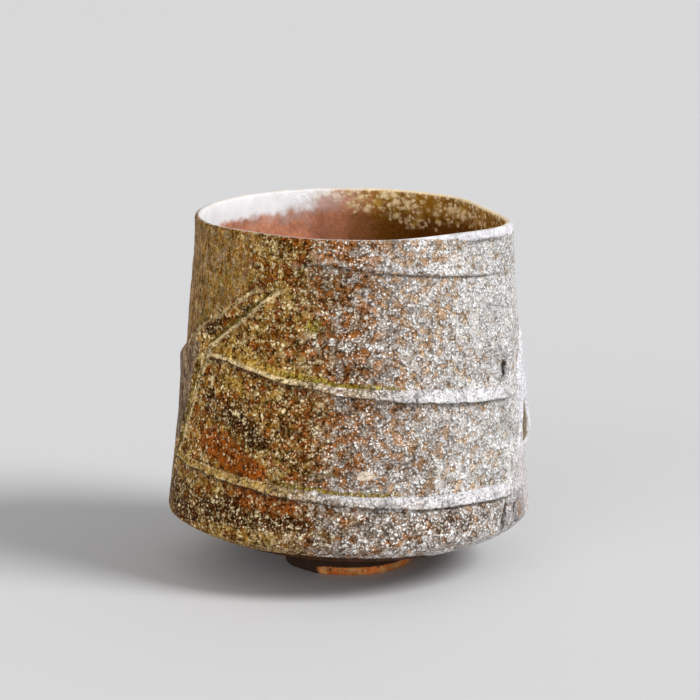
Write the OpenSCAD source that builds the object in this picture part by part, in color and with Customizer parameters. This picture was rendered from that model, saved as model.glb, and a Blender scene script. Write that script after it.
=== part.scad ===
// Hand-built tea cup with no handle: a paddled stoneware wall turned in under the body,
// a floor disc luted into it, a turned foot ring, and a lap of clay over the side seam.
// The cup stands on the plane z = 0, with +Z up. Azimuths turn from +X towards +Y.

/* [Body] */
// Height of the lip over the table
cup_h = 83.6; // [76:0.2:92]
// Mean radius of the wall at the lip
rim_r = 37.3; // [35:0.1:39]
// Mean radius at the widest place, where the wall turns in
turn_r = 42.8; // [41:0.1:45]
// Height of that widest place
turn_h = 14.4; // [13:0.1:16]
// Height at which the underside meets the foot
under_h = 5.2; // [4.4:0.1:6]
// Thickness of the wall
wall_t = 4; // [3:0.1:5]
// Thickness of the wall at the lip
lip_t = 1.8; // [1.4:0.1:3.2]
// Sideways drift of the lip, towards the seam
lip_drift = 1.1; // [0:0.1:2]
// Sideways drift of the widest place, away from the seam
turn_drift = 0.35; // [0:0.05:1]
// Drop of the lip on its low side
rim_drop = 0.55; // [0:0.05:1.5]
// Waviness of the lip
rim_wave = 0.25; // [0:0.05:1]

/* [Paddled faces] */
// How far the front right face is beaten in
front_right_cut = 4.2; // [1:0.1:5]
// How far the back right face is beaten in
back_right_cut = 3.2; // [1:0.1:5]
// How far the front left face is beaten in
front_left_cut = 2.4; // [0.5:0.1:4]
// Radius that softens the edges of the faces
face_blend = 3; // [1.5:0.1:5]

/* [Ridges] */
// Height of the lowest ridge at the seam
low_ridge_h = 20.5; // [19:0.1:23]
// Climb of the lowest ridge along the front
low_ridge_rise = 8; // [5:0.1:10]
// Height of the middle ridge at the seam
mid_ridge_h = 43.4; // [40:0.1:46]
// Climb of the middle ridge along the front
mid_ridge_rise = 10.6; // [7:0.1:13]
// Height of the top ridge at the seam
top_ridge_h = 72.3; // [70:0.1:73]
// Climb of the top ridge along the front
top_ridge_rise = 6; // [3:0.1:7]
// How far a ridge stands out of the wall
ridge_d = 1; // [0.5:0.05:1.6]
// Height of the slope above a ridge's edge
ridge_band = 3.4; // [2:0.1:4]
// How far the fold at the left stands out of the wall
fold_d = 1.6; // [0.6:0.1:2.2]
// How far the left side swells out round the fold
swell_d = 0.45; // [0:0.05:1]
// Depth of the dent beside the seam
dent_d = 0.55; // [0:0.05:1]

/* [Seam lap] */
// Height of the upper end of the lap
lap_top_h = 60; // [52:0.5:64]
// Thickness of the lap high up
lap_t = 0.65; // [0.3:0.05:0.9]
// Thickness of the lap where it is thinnest, low down
lap_thin_t = 0.2; // [0.2:0.05:0.6]
// Extra thickness where the lap bulges half way up
lap_mid_bulge = 1.7; // [0.4:0.1:2]
// Extra thickness of the lump at the foot of the lap
lap_low_bulge = 0.5; // [0.3:0.1:1.4]

/* [Foot and floor] */
// Outer radius of the foot ring where it stands
foot_r = 15.2; // [13:0.1:17]
// Outer radius of the foot ring where it joins the body
foot_join_r = 15.8; // [14:0.1:18]
// Radius of the recess inside the foot ring
foot_recess_r = 11.2; // [9:0.1:12]
// Rounding of the foot ring's standing edges
foot_round = 0.7; // [0.3:0.1:1.2]
// Radius of the floor disc
floor_r = 13.4; // [12.6:0.1:13.8]
// Thickness of the floor disc
floor_t = 4.6; // [3.8:0.1:6]
// Dip in the middle of the floor
floor_dip = 0.8; // [0.3:0.1:1.5]

/* [Hidden] */
columns = 96;
under_rows = 8;
inner_rows = 7;
// Clearance in the luted joints between the pieces
joint_gap = 0.02;
// Height and width of the chamfer that starts the lip's rounding
lip_round = 0.6;
// Length of the undercut below a ridge's edge
ridge_edge = 0.4;
// Length over which the wall comes back out below a ridge
ridge_tail = 6;
// Length over which the fold sinks back into the wall
fold_tail = 16;
// Length of the fold's own steep edge
fold_edge = 3;
// Height and rise of the fold's line
fold_h = 53;
fold_rise = 18.8;
// Height and half height of the swell
swell_h = 57;
swell_half_h = 11;
// Height and half height of the dent
dent_h = 27.5;
dent_half_h = 5;
// How much the underside lifts at the front left
under_lift = 1.3;
// Lengths over which the faces start above the underside
face_start_h = 6;
face_full_h = 22;
// Lengths over which the drift grows
drift_start_h = 12;
drift_full_h = 57;
// Height over the floor at which the inside wall starts to curve in
inner_turn_h = 15;
// Heights and half lengths of the lap's bulges
lap_mid_h = 33;
lap_mid_l = 6.2;
lap_low_h = 17.8;
lap_low_l = 4.4;
// Heights between which the lap thins
lap_thin_h = 28;
lap_full_h = 40;

// Shares and exponents of the form
depth_share = 0.94;
taper_share = 1.3;
under_in_share = 1.9;
under_out_share = 1.65;
undercut_share = 0.35;
face_low_share = 0.35;
climb_share = 1.5;
back_climb_share = 0.8;
ridge_end_share = 0.25;
inner_curve_share = 2.2;
lap_min_share = 0.35;
face_side_share = 0.4;
under_row_share = 2.2;
inner_row_share = 1.8;
floor_dish_share = 0.7;

// Azimuths, in degrees
seam_az = -12;
face_azs = [-50, 20, -130];
ridge_far_azs = [-160, -141, -100];
fold_low_az = -175;
fold_high_az = -129;
under_lift_az = -150;
rim_drop_az = -30;
rim_wave_az = -90;
ridge_fade_a = 12;
// Angles from the seam: where the ridges start again behind, and where they are weak
ridge_back_a = 183;
ridge_weak_a = 6;
ridge_front_a = 22;
fold_fade_a = 14;
swell_az = 180;
swell_a = 32;
dent_az = 2;
dent_a = 15;
lap_mid_az = 0;
lap_mid_a = 7;
lap_low_az = -15;
lap_low_a = 9;

face_cuts = [front_right_cut, back_right_cut, front_left_cut];
ridge_hs = [low_ridge_h, mid_ridge_h, top_ridge_h];
ridge_rises = [low_ridge_rise, mid_ridge_rise, top_ridge_rise];
// Depth and height of each ridge, as shares of a full one: low, middle, top
ridge_depth_shares = [0.9, 1, 0.5];
ridge_band_shares = [1, 1.1, 0.8];

function clamp01(v) = max(0, min(1, v));
function ease(v) = let (t = clamp01(v)) t * t * (3 - 2 * t);
function blend(a, b, t) = a + (b - a) * t;
function bump(d) = exp(-d * d);

// Smaller of two radii, rounded where they meet
function soft_min(a, b) =
    let (h = clamp01(0.5 + 0.5 * (b - a) / face_blend))
    blend(b, a, h) - face_blend * h * (1 - h);

// Angle from one azimuth to another, in -180 to 180
function turn_from(a, az) = (a - az + 540) % 360 - 180;
// Angle walked from the seam round the front, in 0 to 360
function walk(a) = (seam_az - a + 720) % 360;

// Mean radius of the outside at a height
function profile_r(z) =
    z >= turn_h
    ? blend(rim_r, turn_r, pow(clamp01((cup_h - z) / (cup_h - turn_h)), taper_share))
    : let (s = clamp01((z - under_h) / (turn_h - under_h)))
      blend(foot_join_r, turn_r, pow(1 - pow(1 - s, under_in_share), 1 / under_out_share));

// Reach of a paddled face from the axis, far away where the face isn't
function face_r(a, z, i) =
    let (c = cos(a - face_azs[i]),
         high = clamp01((z - turn_h) / (cup_h - turn_h)),
         on = ease((z - face_start_h) / (face_full_h - face_start_h)),
         reach = profile_r(z) - face_cuts[i] * blend(face_low_share, 1, high),
         far = 2 * turn_r)
    blend(far, c > face_side_share ? min(far, reach / c) : far, on);

// Smooth outside, before ridges and folds
function smooth_r(a, z) =
    let (oval = 1 / norm([cos(a), sin(a) / depth_share]))
    soft_min(soft_min(soft_min(profile_r(z) * oval, face_r(a, z, 0)), face_r(a, z, 1)), face_r(a, z, 2));

// Height of a ridge's edge: it climbs round the front to its far end, and back down behind
function ridge_z(a, k) =
    let (f = walk(a),
         front = seam_az - ridge_far_azs[k],
         up = pow(min(1, f / front), climb_share),
         down = pow((360 - f) / (360 - front), back_climb_share))
    ridge_hs[k] + ridge_rises[k] * (f <= front ? up : down);

// Depth of a ridge along its length: it is weak near the seam and dies out past its far end
function weak_end(f, length) = blend(ridge_end_share, 1, ease((f - ridge_weak_a) / length));
function ridge_depth(a, k) =
    let (f = walk(a),
         stop = seam_az - ridge_far_azs[k] + ridge_fade_a,
         along = f <= stop ? min(f, stop - f) : min(f - ridge_back_a, 360 - f),
         near_seam = weak_end(f, ridge_front_a) * weak_end(360 - f, ridge_fade_a))
    ridge_d * ridge_depth_shares[k] * ease(along / ridge_fade_a) * near_seam;

function ridge_relief(a, z, k) =
    let (s = z - ridge_z(a, k),
         d = ridge_depth(a, k),
         band = ridge_band * ridge_band_shares[k])
    s >= band ? 0
    : s >= 0 ? d * (1 - s / band)
    : s >= -ridge_edge ? blend(d, -undercut_share * d, -s / ridge_edge)
    : -undercut_share * d * clamp01(1 + (s + ridge_edge) / ridge_tail);

// The fold crosses the left side: the wall below it stands out, and sinks back lower down
function fold_relief(a, z) =
    let (t = turn_from(a, fold_low_az),
         share = clamp01(t / (fold_high_az - fold_low_az)),
         s = fold_h + fold_rise * share - z,
         fade = ease((t + 3 * fold_fade_a) / fold_fade_a) * ease((5 * fold_fade_a - t) / (2 * fold_fade_a)))
    s <= 0 ? 0 : fold_d * fade * ease(s / fold_edge) * exp(-s / fold_tail);

// A low swell of the left side
function swell_relief(a, z) =
    swell_d * bump(turn_from(a, swell_az) / swell_a) * bump((z - swell_h) / swell_half_h);

// A shallow dent beside the seam
function dent_relief(a, z) =
    -dent_d * bump(turn_from(a, dent_az) / dent_a) * bump((z - dent_h) / dent_half_h);

function outer_r(a, z) =
    smooth_r(a, z) + fold_relief(a, z) + swell_relief(a, z) + dent_relief(a, z)
    + ridge_relief(a, z, 0) + ridge_relief(a, z, 1) + ridge_relief(a, z, 2);

function drift(z) =
    blend(-turn_drift, lip_drift, ease((z - drift_start_h) / (drift_full_h - drift_start_h)));

function rim_z(a) = cup_h - rim_drop * cos(a - rim_drop_az) + rim_wave * cos(2 * (a - rim_wave_az));

function at(a, r, z) = [r * cos(a) + drift(z), r * sin(a), z];

// Outer rows above the widest place: each is a height at an azimuth.
// Rows follow the ridges: below the edge, at it, up its slope, and in between.
function band_of(k) = ridge_band * ridge_band_shares[k];
function upper_zs(a) =
    let (r0 = ridge_z(a, 0),
         r1 = ridge_z(a, 1),
         r2 = ridge_z(a, 2),
         lip = rim_z(a) - lip_round,
         low = r0 - ridge_edge,
         a0 = r0 + band_of(0),
         b1 = r1 - ridge_edge,
         a1 = r1 + band_of(1),
         b2 = r2 - ridge_edge,
         a2 = min(r2 + band_of(2), lip - lip_round))
    [
        blend(turn_h, low, 1 / 3),
        blend(turn_h, low, 2 / 3),
        low, r0, (r0 + a0) / 2, a0,
        each [for (i = [1:4]) blend(a0, b1, i / 5)],
        b1, r1, (r1 + a1) / 2, a1,
        each [for (i = [1:5]) blend(a1, b2, i / 6)],
        b2, r2, a2,
        lip
    ];

// Underside rows, from the foot to the widest place
function under_share(i) = pow(i / under_rows, under_row_share);
function under_z(a, s) =
    blend(under_h, turn_h, s) + under_lift * pow(max(0, cos(a - under_lift_az)), 2) * sin(180 * s);
function outer_column(a) = concat(
    [for (i = [0:under_rows])
        let (s = under_share(i), z = blend(under_h, turn_h, s))
        at(a, i == 0 ? foot_join_r : smooth_r(a, z), under_z(a, s))],
    [for (z = upper_zs(a)) at(a, outer_r(a, z), z)]);

// Inside rows, from the lip down to the floor's seat
floor_top = under_h + floor_t;
function inside_r(a, z) =
    let (s = clamp01((z - floor_top) / inner_turn_h),
         start = floor_top + inner_turn_h,
         thick = blend(wall_t, lip_t, ease((z - start) / (cup_h - start))),
         high = smooth_r(a, max(z, start)) - thick)
    blend(floor_r, high, pow(1 - pow(1 - s, inner_curve_share), 1 / inner_curve_share));
function inner_column(a) = concat(
    [at(a, smooth_r(a, rim_z(a)) - lip_t / 2, rim_z(a)),
     at(a, inside_r(a, cup_h), rim_z(a) - lip_round)],
    [for (i = [1:3])
        let (z = blend(rim_z(a) - lip_round, floor_top + inner_turn_h, i / 4))
        at(a, inside_r(a, z), z)],
    [for (i = [0:inner_rows])
        let (s = pow(1 - i / inner_rows, inner_row_share), z = floor_top + inner_turn_h * s)
        at(a, inside_r(a, z), z)]);

function wall_column(a) = concat([at(a, floor_r, under_h)], outer_column(a), inner_column(a));
function column_a(i) = 360 * i / columns;

module wall() {
    points = [for (i = [0:columns - 1]) each wall_column(column_a(i))];
    n = len(wall_column(0));
    faces = [for (i = [0:columns - 1], j = [0:n - 1])
        let (p = i * n + j,
             q = i * n + (j + 1) % n,
             r = ((i + 1) % columns) * n + (j + 1) % n,
             t = ((i + 1) % columns) * n + j)
        each [[p, q, r], [p, r, t]]];
    color([0.62, 0.53, 0.42])
        polyhedron(points, faces);
}

// The lap lies on the wall between two of its columns and follows the wall's own rows
lap_first = -8;
lap_last = 2;
lap_first_row = 5;
function lap_rows() =
    [for (j = [lap_first_row:len(outer_column(seam_az)) - 1])
        if (outer_column(seam_az)[j][2] <= lap_top_h) j];
function lap_thick(a, z) =
    let (edge = min(a - column_a(lap_first), column_a(lap_last) - a) / column_a(1),
         high = ease((z - lap_thin_h) / (lap_full_h - lap_thin_h)),
         low = ease((lap_thin_h - z) / (lap_full_h - lap_thin_h)),
         body = blend(lap_thin_t, lap_t, max(high, low))
            + lap_mid_bulge * bump((a - lap_mid_az) / lap_mid_a) * bump((z - lap_mid_h) / lap_mid_l)
            + lap_low_bulge * bump((a - lap_low_az) / lap_low_a) * bump((z - lap_low_h) / lap_low_l),
         side = blend(lap_min_share, 1, ease(edge / 2)),
         end = blend(lap_min_share, 1, ease((lap_top_h - z) / lap_low_l)))
    body * side * end;
function pushed(p, a, d) = [p[0] + d * cos(a), p[1] + d * sin(a), p[2]];

module seam_lap() {
    rows = lap_rows();
    m = len(rows);
    w = lap_last - lap_first + 1;
    grid = [for (i = [lap_first:lap_last])
        let (a = column_a(i), column = outer_column(a))
        [for (j = rows) column[j]]];
    inside = [for (i = [0:w - 1], j = [0:m - 1])
        pushed(grid[i][j], column_a(i + lap_first), joint_gap)];
    outside = [for (i = [0:w - 1], j = [0:m - 1])
        let (a = column_a(i + lap_first), p = grid[i][j])
        pushed(p, a, joint_gap + lap_thick(a, p[2]))];
    k = w * m;
    skin = [for (i = [0:w - 2], j = [0:m - 2])
        let (p = i * m + j)
        each [[k + p, k + p + 1, k + p + m + 1], [k + p, k + p + m + 1, k + p + m],
              [p, p + m + 1, p + 1], [p, p + m, p + m + 1]]];
    sides = [for (j = [0:m - 2])
        let (p = j, q = (w - 1) * m + j)
        each [[p, p + 1, k + p + 1], [p, k + p + 1, k + p],
              [q, k + q + 1, q + 1], [q, k + q, k + q + 1]]];
    ends = [for (i = [0:w - 2])
        let (p = i * m, q = i * m + m - 1)
        each [[p, k + p, k + p + m], [p, k + p + m, p + m],
              [q, k + q + m, k + q], [q, q + m, k + q + m]]];
    color([0.78, 0.76, 0.74])
        polyhedron(concat(inside, outside), concat(skin, sides, ends));
}

// The disc fills the seat in the faceted wall, so it fits inside the flats of that seat
disc_r = floor_r * cos(180 / columns) - joint_gap;
module floor() {
    color([0.5, 0.38, 0.27])
        translate([drift(under_h), 0, 0])
            rotate_extrude($fn = columns)
                polygon([
                    [0, under_h],
                    [disc_r, under_h],
                    [disc_r, floor_top],
                    [disc_r / 2, floor_top - floor_dip * floor_dish_share],
                    [0, floor_top - floor_dip]
                ]);
}

module foot_ring() {
    top = under_h - joint_gap;
    color([0.72, 0.42, 0.26])
        translate([drift(under_h), 0, 0])
            rotate_extrude($fn = columns)
                polygon([
                    [foot_recess_r, top],
                    [foot_recess_r, foot_round],
                    [foot_recess_r + foot_round, 0],
                    [foot_r - foot_round, 0],
                    [foot_r, foot_round],
                    [foot_join_r, top]
                ]);
}

wall();
seam_lap();
floor();
foot_ring();
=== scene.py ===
"""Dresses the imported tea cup: an ash-glazed, paddled stoneware cup on a pale studio floor."""

import math
from dataclasses import dataclass

import bpy
import numpy as np
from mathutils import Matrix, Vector


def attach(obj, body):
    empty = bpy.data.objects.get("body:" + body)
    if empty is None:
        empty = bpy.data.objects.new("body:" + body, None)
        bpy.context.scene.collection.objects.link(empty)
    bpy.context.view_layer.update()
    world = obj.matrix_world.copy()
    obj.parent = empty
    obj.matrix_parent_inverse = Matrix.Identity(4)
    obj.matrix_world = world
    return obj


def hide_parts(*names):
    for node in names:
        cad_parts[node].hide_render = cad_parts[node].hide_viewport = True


bl_info = {
    "name": "Wood-fired Tea Cup",
    "version": (1, 0, 0),
    "blender": (4, 5, 0),
    "location": "View3D > Sidebar > Tea Cup",
    "description": "Builds a paddled, ash-glazed tea cup around its packed model",
    "category": "Object",
}

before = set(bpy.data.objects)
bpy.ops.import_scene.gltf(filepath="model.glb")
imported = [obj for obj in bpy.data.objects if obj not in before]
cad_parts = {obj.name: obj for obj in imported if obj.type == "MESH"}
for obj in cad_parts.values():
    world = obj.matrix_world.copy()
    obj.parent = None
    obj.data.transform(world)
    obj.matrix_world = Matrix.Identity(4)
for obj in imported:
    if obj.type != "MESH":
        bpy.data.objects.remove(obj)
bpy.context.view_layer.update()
MM = 0.001

# Names that end in _AZ are azimuths in degrees, and 0 is the right of the photograph.
# A table by azimuth or by height holds values at chosen places, read off between them.
# A row of spots is a soft round patch: share, azimuth, height in mm, half width in degrees,
# half height in mm and, where it leans, its lean in mm per degree.
# A span is where something starts, over how much it rises, where it stops and over how much it falls.
# A start or a stop of two numbers is its place and the stretch that it takes, and a side is an azimuth,
# a half width and the softness of its ends, in degrees.

# Form of the wall, as the solid has it
TURN_DRIFT = 0.35 * MM
LIP_DRIFT = 1.1 * MM
DRIFT_START_H = 12 * MM
DRIFT_FULL_H = 57 * MM
RIM_DROP = 0.55 * MM
RIM_DROP_AZ = -30
RIM_WAVE = 0.25 * MM
RIM_WAVE_AZ = -90
LIP_ROUND = 0.6 * MM
DEPTH_SHARE = 0.94
TAPER = 1.3
UNDER_IN = 1.9
UNDER_OUT = 1.65
UNDER_LIFT = 1.3 * MM
UNDER_LIFT_AZ = -150
FOOT_JOIN_R = 15.8 * MM
INNER_TURN_H = 15 * MM
INNER_CURVE = 2.2
FLOOR_R = 13.4 * MM
FLOOR_T = 4.6 * MM
FLOOR_DIP = 0.8 * MM
JOINT_GAP = 0.02 * MM
SEAM_AZ = -12

# Paddled faces: azimuth and depth of the cut
FACES = ((-50, 4.2 * MM), (20, 3.2 * MM), (-130, 2.4 * MM))
FACE_START_H = 6 * MM
FACE_FULL_H = 22 * MM
FACE_BLEND = 3 * MM
FACE_LOW_SHARE = 0.35
FACE_LEAST_COS = 0.4

# Hand-made unevenness: share of its depth, size of the lumps and shifts in the noise
HAND_LUMPS = ((0.55, 11 * MM, 0, 0), (0.35, 4.5 * MM, 0.3, 0), (0.32, 1.9 * MM, 0, 0.3))

# Painted shade in the crevices under the ridges: strength, distance under the edge and half width, in mm
RIDGE_SHADE = {-180: 1.3, -125: 1.3, -100: 0.75, -80: 0.55, -60: 0.55, 0: 0.6}
TOP_RIDGE_SHADE = {-180: 0, -120: 0.5, -106: 1.1, -60: 1.1, -45: 0.8, 0: 0.5}
RIDGE_SHADE_DOWN = {-180: 0.7, -125: 0.65, -100: 0.55, -80: 0.45, 0: 0.42}
RIDGE_SHADE_LEAST = 0.3
RIDGE_SHADE_HALF = {-180: 0.55, -110: 0.45, -90: 0.34, 0: 0.34}


@dataclass
class Ridge:
    """One sloping ridge of the wall: a slope above a sharp edge, with an undercut below it.
    pale and gold are tables of how much of the slope is pale, and how rich its golden glaze is; the third
    table is how strong the painted shade under its edge is."""

    height: float
    rise: float
    far_az: float
    depth_share: float
    band_share: float
    pool_az: float
    weight: float
    pale: dict
    gold: dict
    soot: dict
    gold_in_pale: bool = False
    gold_hidden: float = 0.6

    @property
    def front(self):
        return SEAM_AZ - self.far_az


LOW_RIDGE = Ridge(
    height=20.5 * MM, rise=8 * MM, far_az=-160, depth_share=0.9, band_share=1.0, pool_az=-120, weight=1.0,
    pale={-180: 0.5, -150: 0.6, -120: 0.7, -110: 0.75, -90: 0.75, -60: 0.92, -30: 1, 60: 0.8},
    gold={-180: 0.7, -125: 0.75, -105: 0.35, -85: 0.2, -70: 0, 60: 0, 120: 0.5},
    soot=RIDGE_SHADE, gold_in_pale=True, gold_hidden=0.1)
MID_RIDGE = Ridge(
    height=43.4 * MM, rise=10.6 * MM, far_az=-141, depth_share=1.0, band_share=1.1, pool_az=-124, weight=1.0,
    pale={-180: 0.4, -140: 0.42, -120: 0.42, -100: 0.55, -80: 0.7, -66: 0.88, -30: 0.85, 60: 0.8},
    gold={-180: 0.9, -120: 0.9, -100: 0.6, -85: 0.3, -70: 0, 60: 0, 120: 0.5},
    soot=RIDGE_SHADE)
TOP_RIDGE = Ridge(
    height=72.3 * MM, rise=6 * MM, far_az=-100, depth_share=0.5, band_share=0.8, pool_az=-85, weight=0.45,
    pale={-180: 0.6, -90: 0.6, -60: 0.8, 60: 0.8}, gold={-180: 0}, soot=TOP_RIDGE_SHADE)
RIDGES = (LOW_RIDGE, MID_RIDGE, TOP_RIDGE)
RIDGE_EDGE = 0.4 * MM
RIDGE_TAIL = 6 * MM
RIDGE_FADE = 12
RIDGE_BACK = 183
RIDGE_WAVER = 0.35 * MM
RIDGE_UNEVEN = 0.2
RIDGE_AT_SEAM = 0.25
RIDGE_SEAM_SPAN = (6, 22, 354, 12)
CLIMB = 1.5
BACK_CLIMB = 0.8
UNDERCUT_SHARE = 0.35
SLOPE_START = (-0.1, 0.3)
SLOPE_END = 0.7
GOLD_REACH = 0.9
OLIVE_POOL = (1, 0.1, 0.55)
POOL_RISE = 12
POOL_STOP = (-66, 16)

# The faint ridge between the upper two
FAINT_H = 57.6 * MM
FAINT_RISE = 5.8 * MM
FAINT_D = 0.25 * MM
FAINT_SPAN = (-92, 14, -8, 14)
FAINT_START_AZ = -24
FAINT_TURN = 56
FAINT_LONGEST = 1.3
FAINT_TAIL = 2.5
FAINT_HOLLOW = (-0.8, -0.6, 0.7)

# The fold that crosses the left side
FOLD_H = 53 * MM
FOLD_RISE = 18.8 * MM
FOLD_D = 1.6 * MM
FOLD_EDGE = 3.0 * MM
FOLD_TAIL = 16 * MM
FOLD_LOW_AZ = -175
FOLD_HIGH_AZ = -129
FOLD_FADE = 14
FOLD_LINE_SPAN = (-186, 10, -104, 20)

# The crest beside it, bent at its knee: its lean in degrees per mm, and how much of a distance
# round the cup lies square to it
CREST_KNEE_H = 56.8 * MM
CREST_KNEE_AZ = -146.9
CREST_UPPER = 1.97
CREST_LOWER = 0.58
CREST_UPPER_SQUARE = 0.59
CREST_LOWER_SQUARE = 0.93
CREST_SPAN = (26, 5, 75, 6)
CREST_SIDE = (-140, 50, 10)
BRANCH_SPAN = (49.5, 3, 58.5, 1.5)
BRANCH_SIDE = (-150, 30, 8)

# Stripes beside the crest: share, distance to its left and half width, in mm. A form's share is a height.
CREST_FORM = ((0.5, 0, 0.7), (-0.4, 1.4, 0.7), (-0.35, 3.2, 1.4))
BRANCH_FORM = (0.4, 0, 0.8)
# On the crest, the slope stripe is a painted highlight and the crevice stripe is painted shade in the groove
# to its left
CREST_STRIPES = {"olive": (0.95, 1.2, 0.65), "crevice": (0.4, 1.2, 0.3), "slope": (0.7, 0, 0.7)}
CREST_LOW_STRIPES = {"olive": (0.85, 3.4, 0.8), "slope": (0.6, 2.3, 0.5)}
CREST_LOW = (55, 3)
# Painted shade to the right of the crest, near its knee
CREST_SHADE_STRIPE = (1, -0.9, 0.3)
BRANCH_STRIPE = (0.5, 0, 0.9)
FOLD_STRIPE = (0.5, 0.9, 1.4)
# Painted shade along the edge of the fold
FOLD_SHADE = (0.45, -0.2, 0.35)

# The thin glaze left of the crest and under the fold, and the ochre above the fold: distances from the
# crest and under the fold, and height, in mm
DUSTY_FROM_CREST = (3.6, 2)
DUSTY_FROM_FOLD = (1.5, 2)
DUSTY_FOOT = (29, 4)
DUSTY_SIDE = (-178, 55, 12)
OCHRE_EDGE = (1, 2.5)

# Small forms of the wall, whose share is a height in mm: pebble, cluster, dent beside the lap, swell, pit
PIT_AT = (-26.5, 50.7)
PEBBLE_AT = (-85, 30.3)
CLUSTER_AT = (-107, 61.8)
WALL_BUMPS = (
    (0.45, *PEBBLE_AT, 2.0, 0.85),
    (0.3, *CLUSTER_AT, 2.6, 1.3),
    (-0.55, 2, 27.5, 15, 5),
    (0.45, 180, 57, 32, 11),
    (-0.5, *PIT_AT, 0.8, 1.0, -0.2),
)

# The lap over the seam: its edges in degrees and its thickness in mm, by height in mm
LAP_FOOT_H = 12.2 * MM
LAP_TOP_H = 60.5 * MM
LAP_SINK = 0.18 * MM
LAP_LEFT = {12: -31, 14.4: -30.5, 17: -28.3, 18.2: -27.3, 20: -25.4, 22: -22.8, 27: -20, 35: -15.5, 50: -15,
            54: -12, 61: -3}
LAP_RIGHT = {12: -4, 20: 5, 36: 8, 50: 5, 61: -1}
LAP_BASE = {12: 0.2, 18: 0.25, 23: 0.2, 28: 0.25, 34: 0.6, 42: 1.0, 50: 0.7, 60: 0.5}
LAP_BULGE = (1.65, 0, 33, 7, 6.2)
LAP_LUMP_D = 0.55 * MM
LAP_LUMP_AT = (-16, 17.8)
LAP_LUMP_HALF = (11, 5.2)
LAP_LIP = (0.2 * MM, 1.4 * MM, 0.9 * MM)
LAP_LIP_START = (30, 5)
LAP_OVERHANG = 0.6

# How softly the lap's edges leave the wall: left edge high up and low down, right edge, foot and top
LAP_LEFT_SOFT = 1.3 * MM
LAP_LOW_SOFT = 0.45 * MM
LAP_LOW = (24, 4)
LAP_RIGHT_SOFT = 2.5 * MM
LAP_FOOT_SOFT = 1.6 * MM
LAP_TOP_SOFT = 5 * MM

# The hollow in the lap, whose heights count from its middle, the crevice between the lap's lump and
# the strip beside it, and the crack between the lap's foot and the wall
CREASE_D = 0.8 * MM
CREASE_AT = (-8.5, 34.5)
CREASE_HALF = {-5: 3.2, -3: 5.0, 0: 4.4, 3: 2.6, 8: 1.2}
CREASE_SPAN = (-5, 1.6, 8, 2.5)
GROOVE_D = 0.45 * MM
GROOVE_AT = (-24.2, 17.7)
GROOVE_LEAN = 0.75
GROOVE_HALF = 0.9
GROOVE_SPAN = (12.6, 1, 19.6, 2)
CRACK_D = 0.9 * MM
CRACK_LINE = {12: -32.2, 14.4: -31.5, 17: -29.3, 18.2: -28.3, 20: -26.2, 22: -23.6}
CRACK_HALF = 1.4
CRACK_SPAN = (12.4, 1.2, 22, 3)
# Painted shade in the crack: its strength, and the heights that it spans
CRACK_SHADE = 1.2
CRACK_SHADE_SPAN = (12.4, 1.2, 21.5, 4)

# The foot ring and the inside floor
FOOT_R = 15.2 * MM
FOOT_BORE_R = 11.2 * MM
FOOT_EDGE = 0.6 * MM
FOOT_BORE_EDGE = 0.5 * MM
FOOT_WOBBLE = 0.16 * MM
FOOT_SIDE_ROWS = (1, 0.88, 0.76, 0.62, 0.45, 0.3)
FOOT_FLARE = 2.2
# Painted shadow on the foot: the height where it starts under the body and how softly, its strength on the
# left side, and where it stops round the cup
FOOT_SHADOW_H = 1.9 * MM
FOOT_SHADOW_RISE = 0.5 * MM
FOOT_SHADOW_LEFT = 0.9
FOOT_SHADOW_STOP = (-110, 14)
FOOT_EDGE_TURNS = (0, 22.5, 45, 67.5, 90)
FOOT_BASE_ROWS = (0.35, 0.7)
FOOT_BORE_TURNS = (90, 45, 0)

# Unevenness of the foot ring: bumps round it and layer of the noise, and what wear and chips add to its edge
WEAR = (4, 3)
CHIPS = (11, 5)
FOOT_ASH = (3, 9)
WEAR_EDGE = 0.45
CHIP_EDGE = 0.5

# The spiral of the inside floor
SPIRAL_D = 0.14 * MM
SPIRAL_STEP = 2.3 * MM
SPIRAL_START_R = 2 * MM
SPIRAL_FADE = 0.12

# Rows and columns of the dressed meshes. Rows crowd where the form turns.
WALL_COLUMNS = 480
UNDER_ROWS = 26
UNDER_CROWDING = 2.2
OUTER_ROWS = (10, 2, 8, 34, 2, 9, 46, 2, 6, 8)
LIP_ROWS = 9
INNER_HIGH_ROWS = 24
INNER_LOW_ROWS = 18
INNER_LOW_SHARE = 0.8
INNER_CROWDING = 1.25
INNER_LUMP_SHARE = 0.8
INNER_SMOOTH_H = 10 * MM
FLOOR_COLUMNS = 120
FLOOR_ROWS = 40
FLOOR_FIRST_ROW = 0.01
RING_COLUMNS = 192
LAP_COLUMNS = 60
LAP_ROWS = 90

# The bake's picture: its margin, the top of the wall's outside in it, and the strip of the inside
UV_EDGE = 0.002
OUTER_V_TOP = 0.702
INNER_V = (0.71, 0.998)
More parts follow.
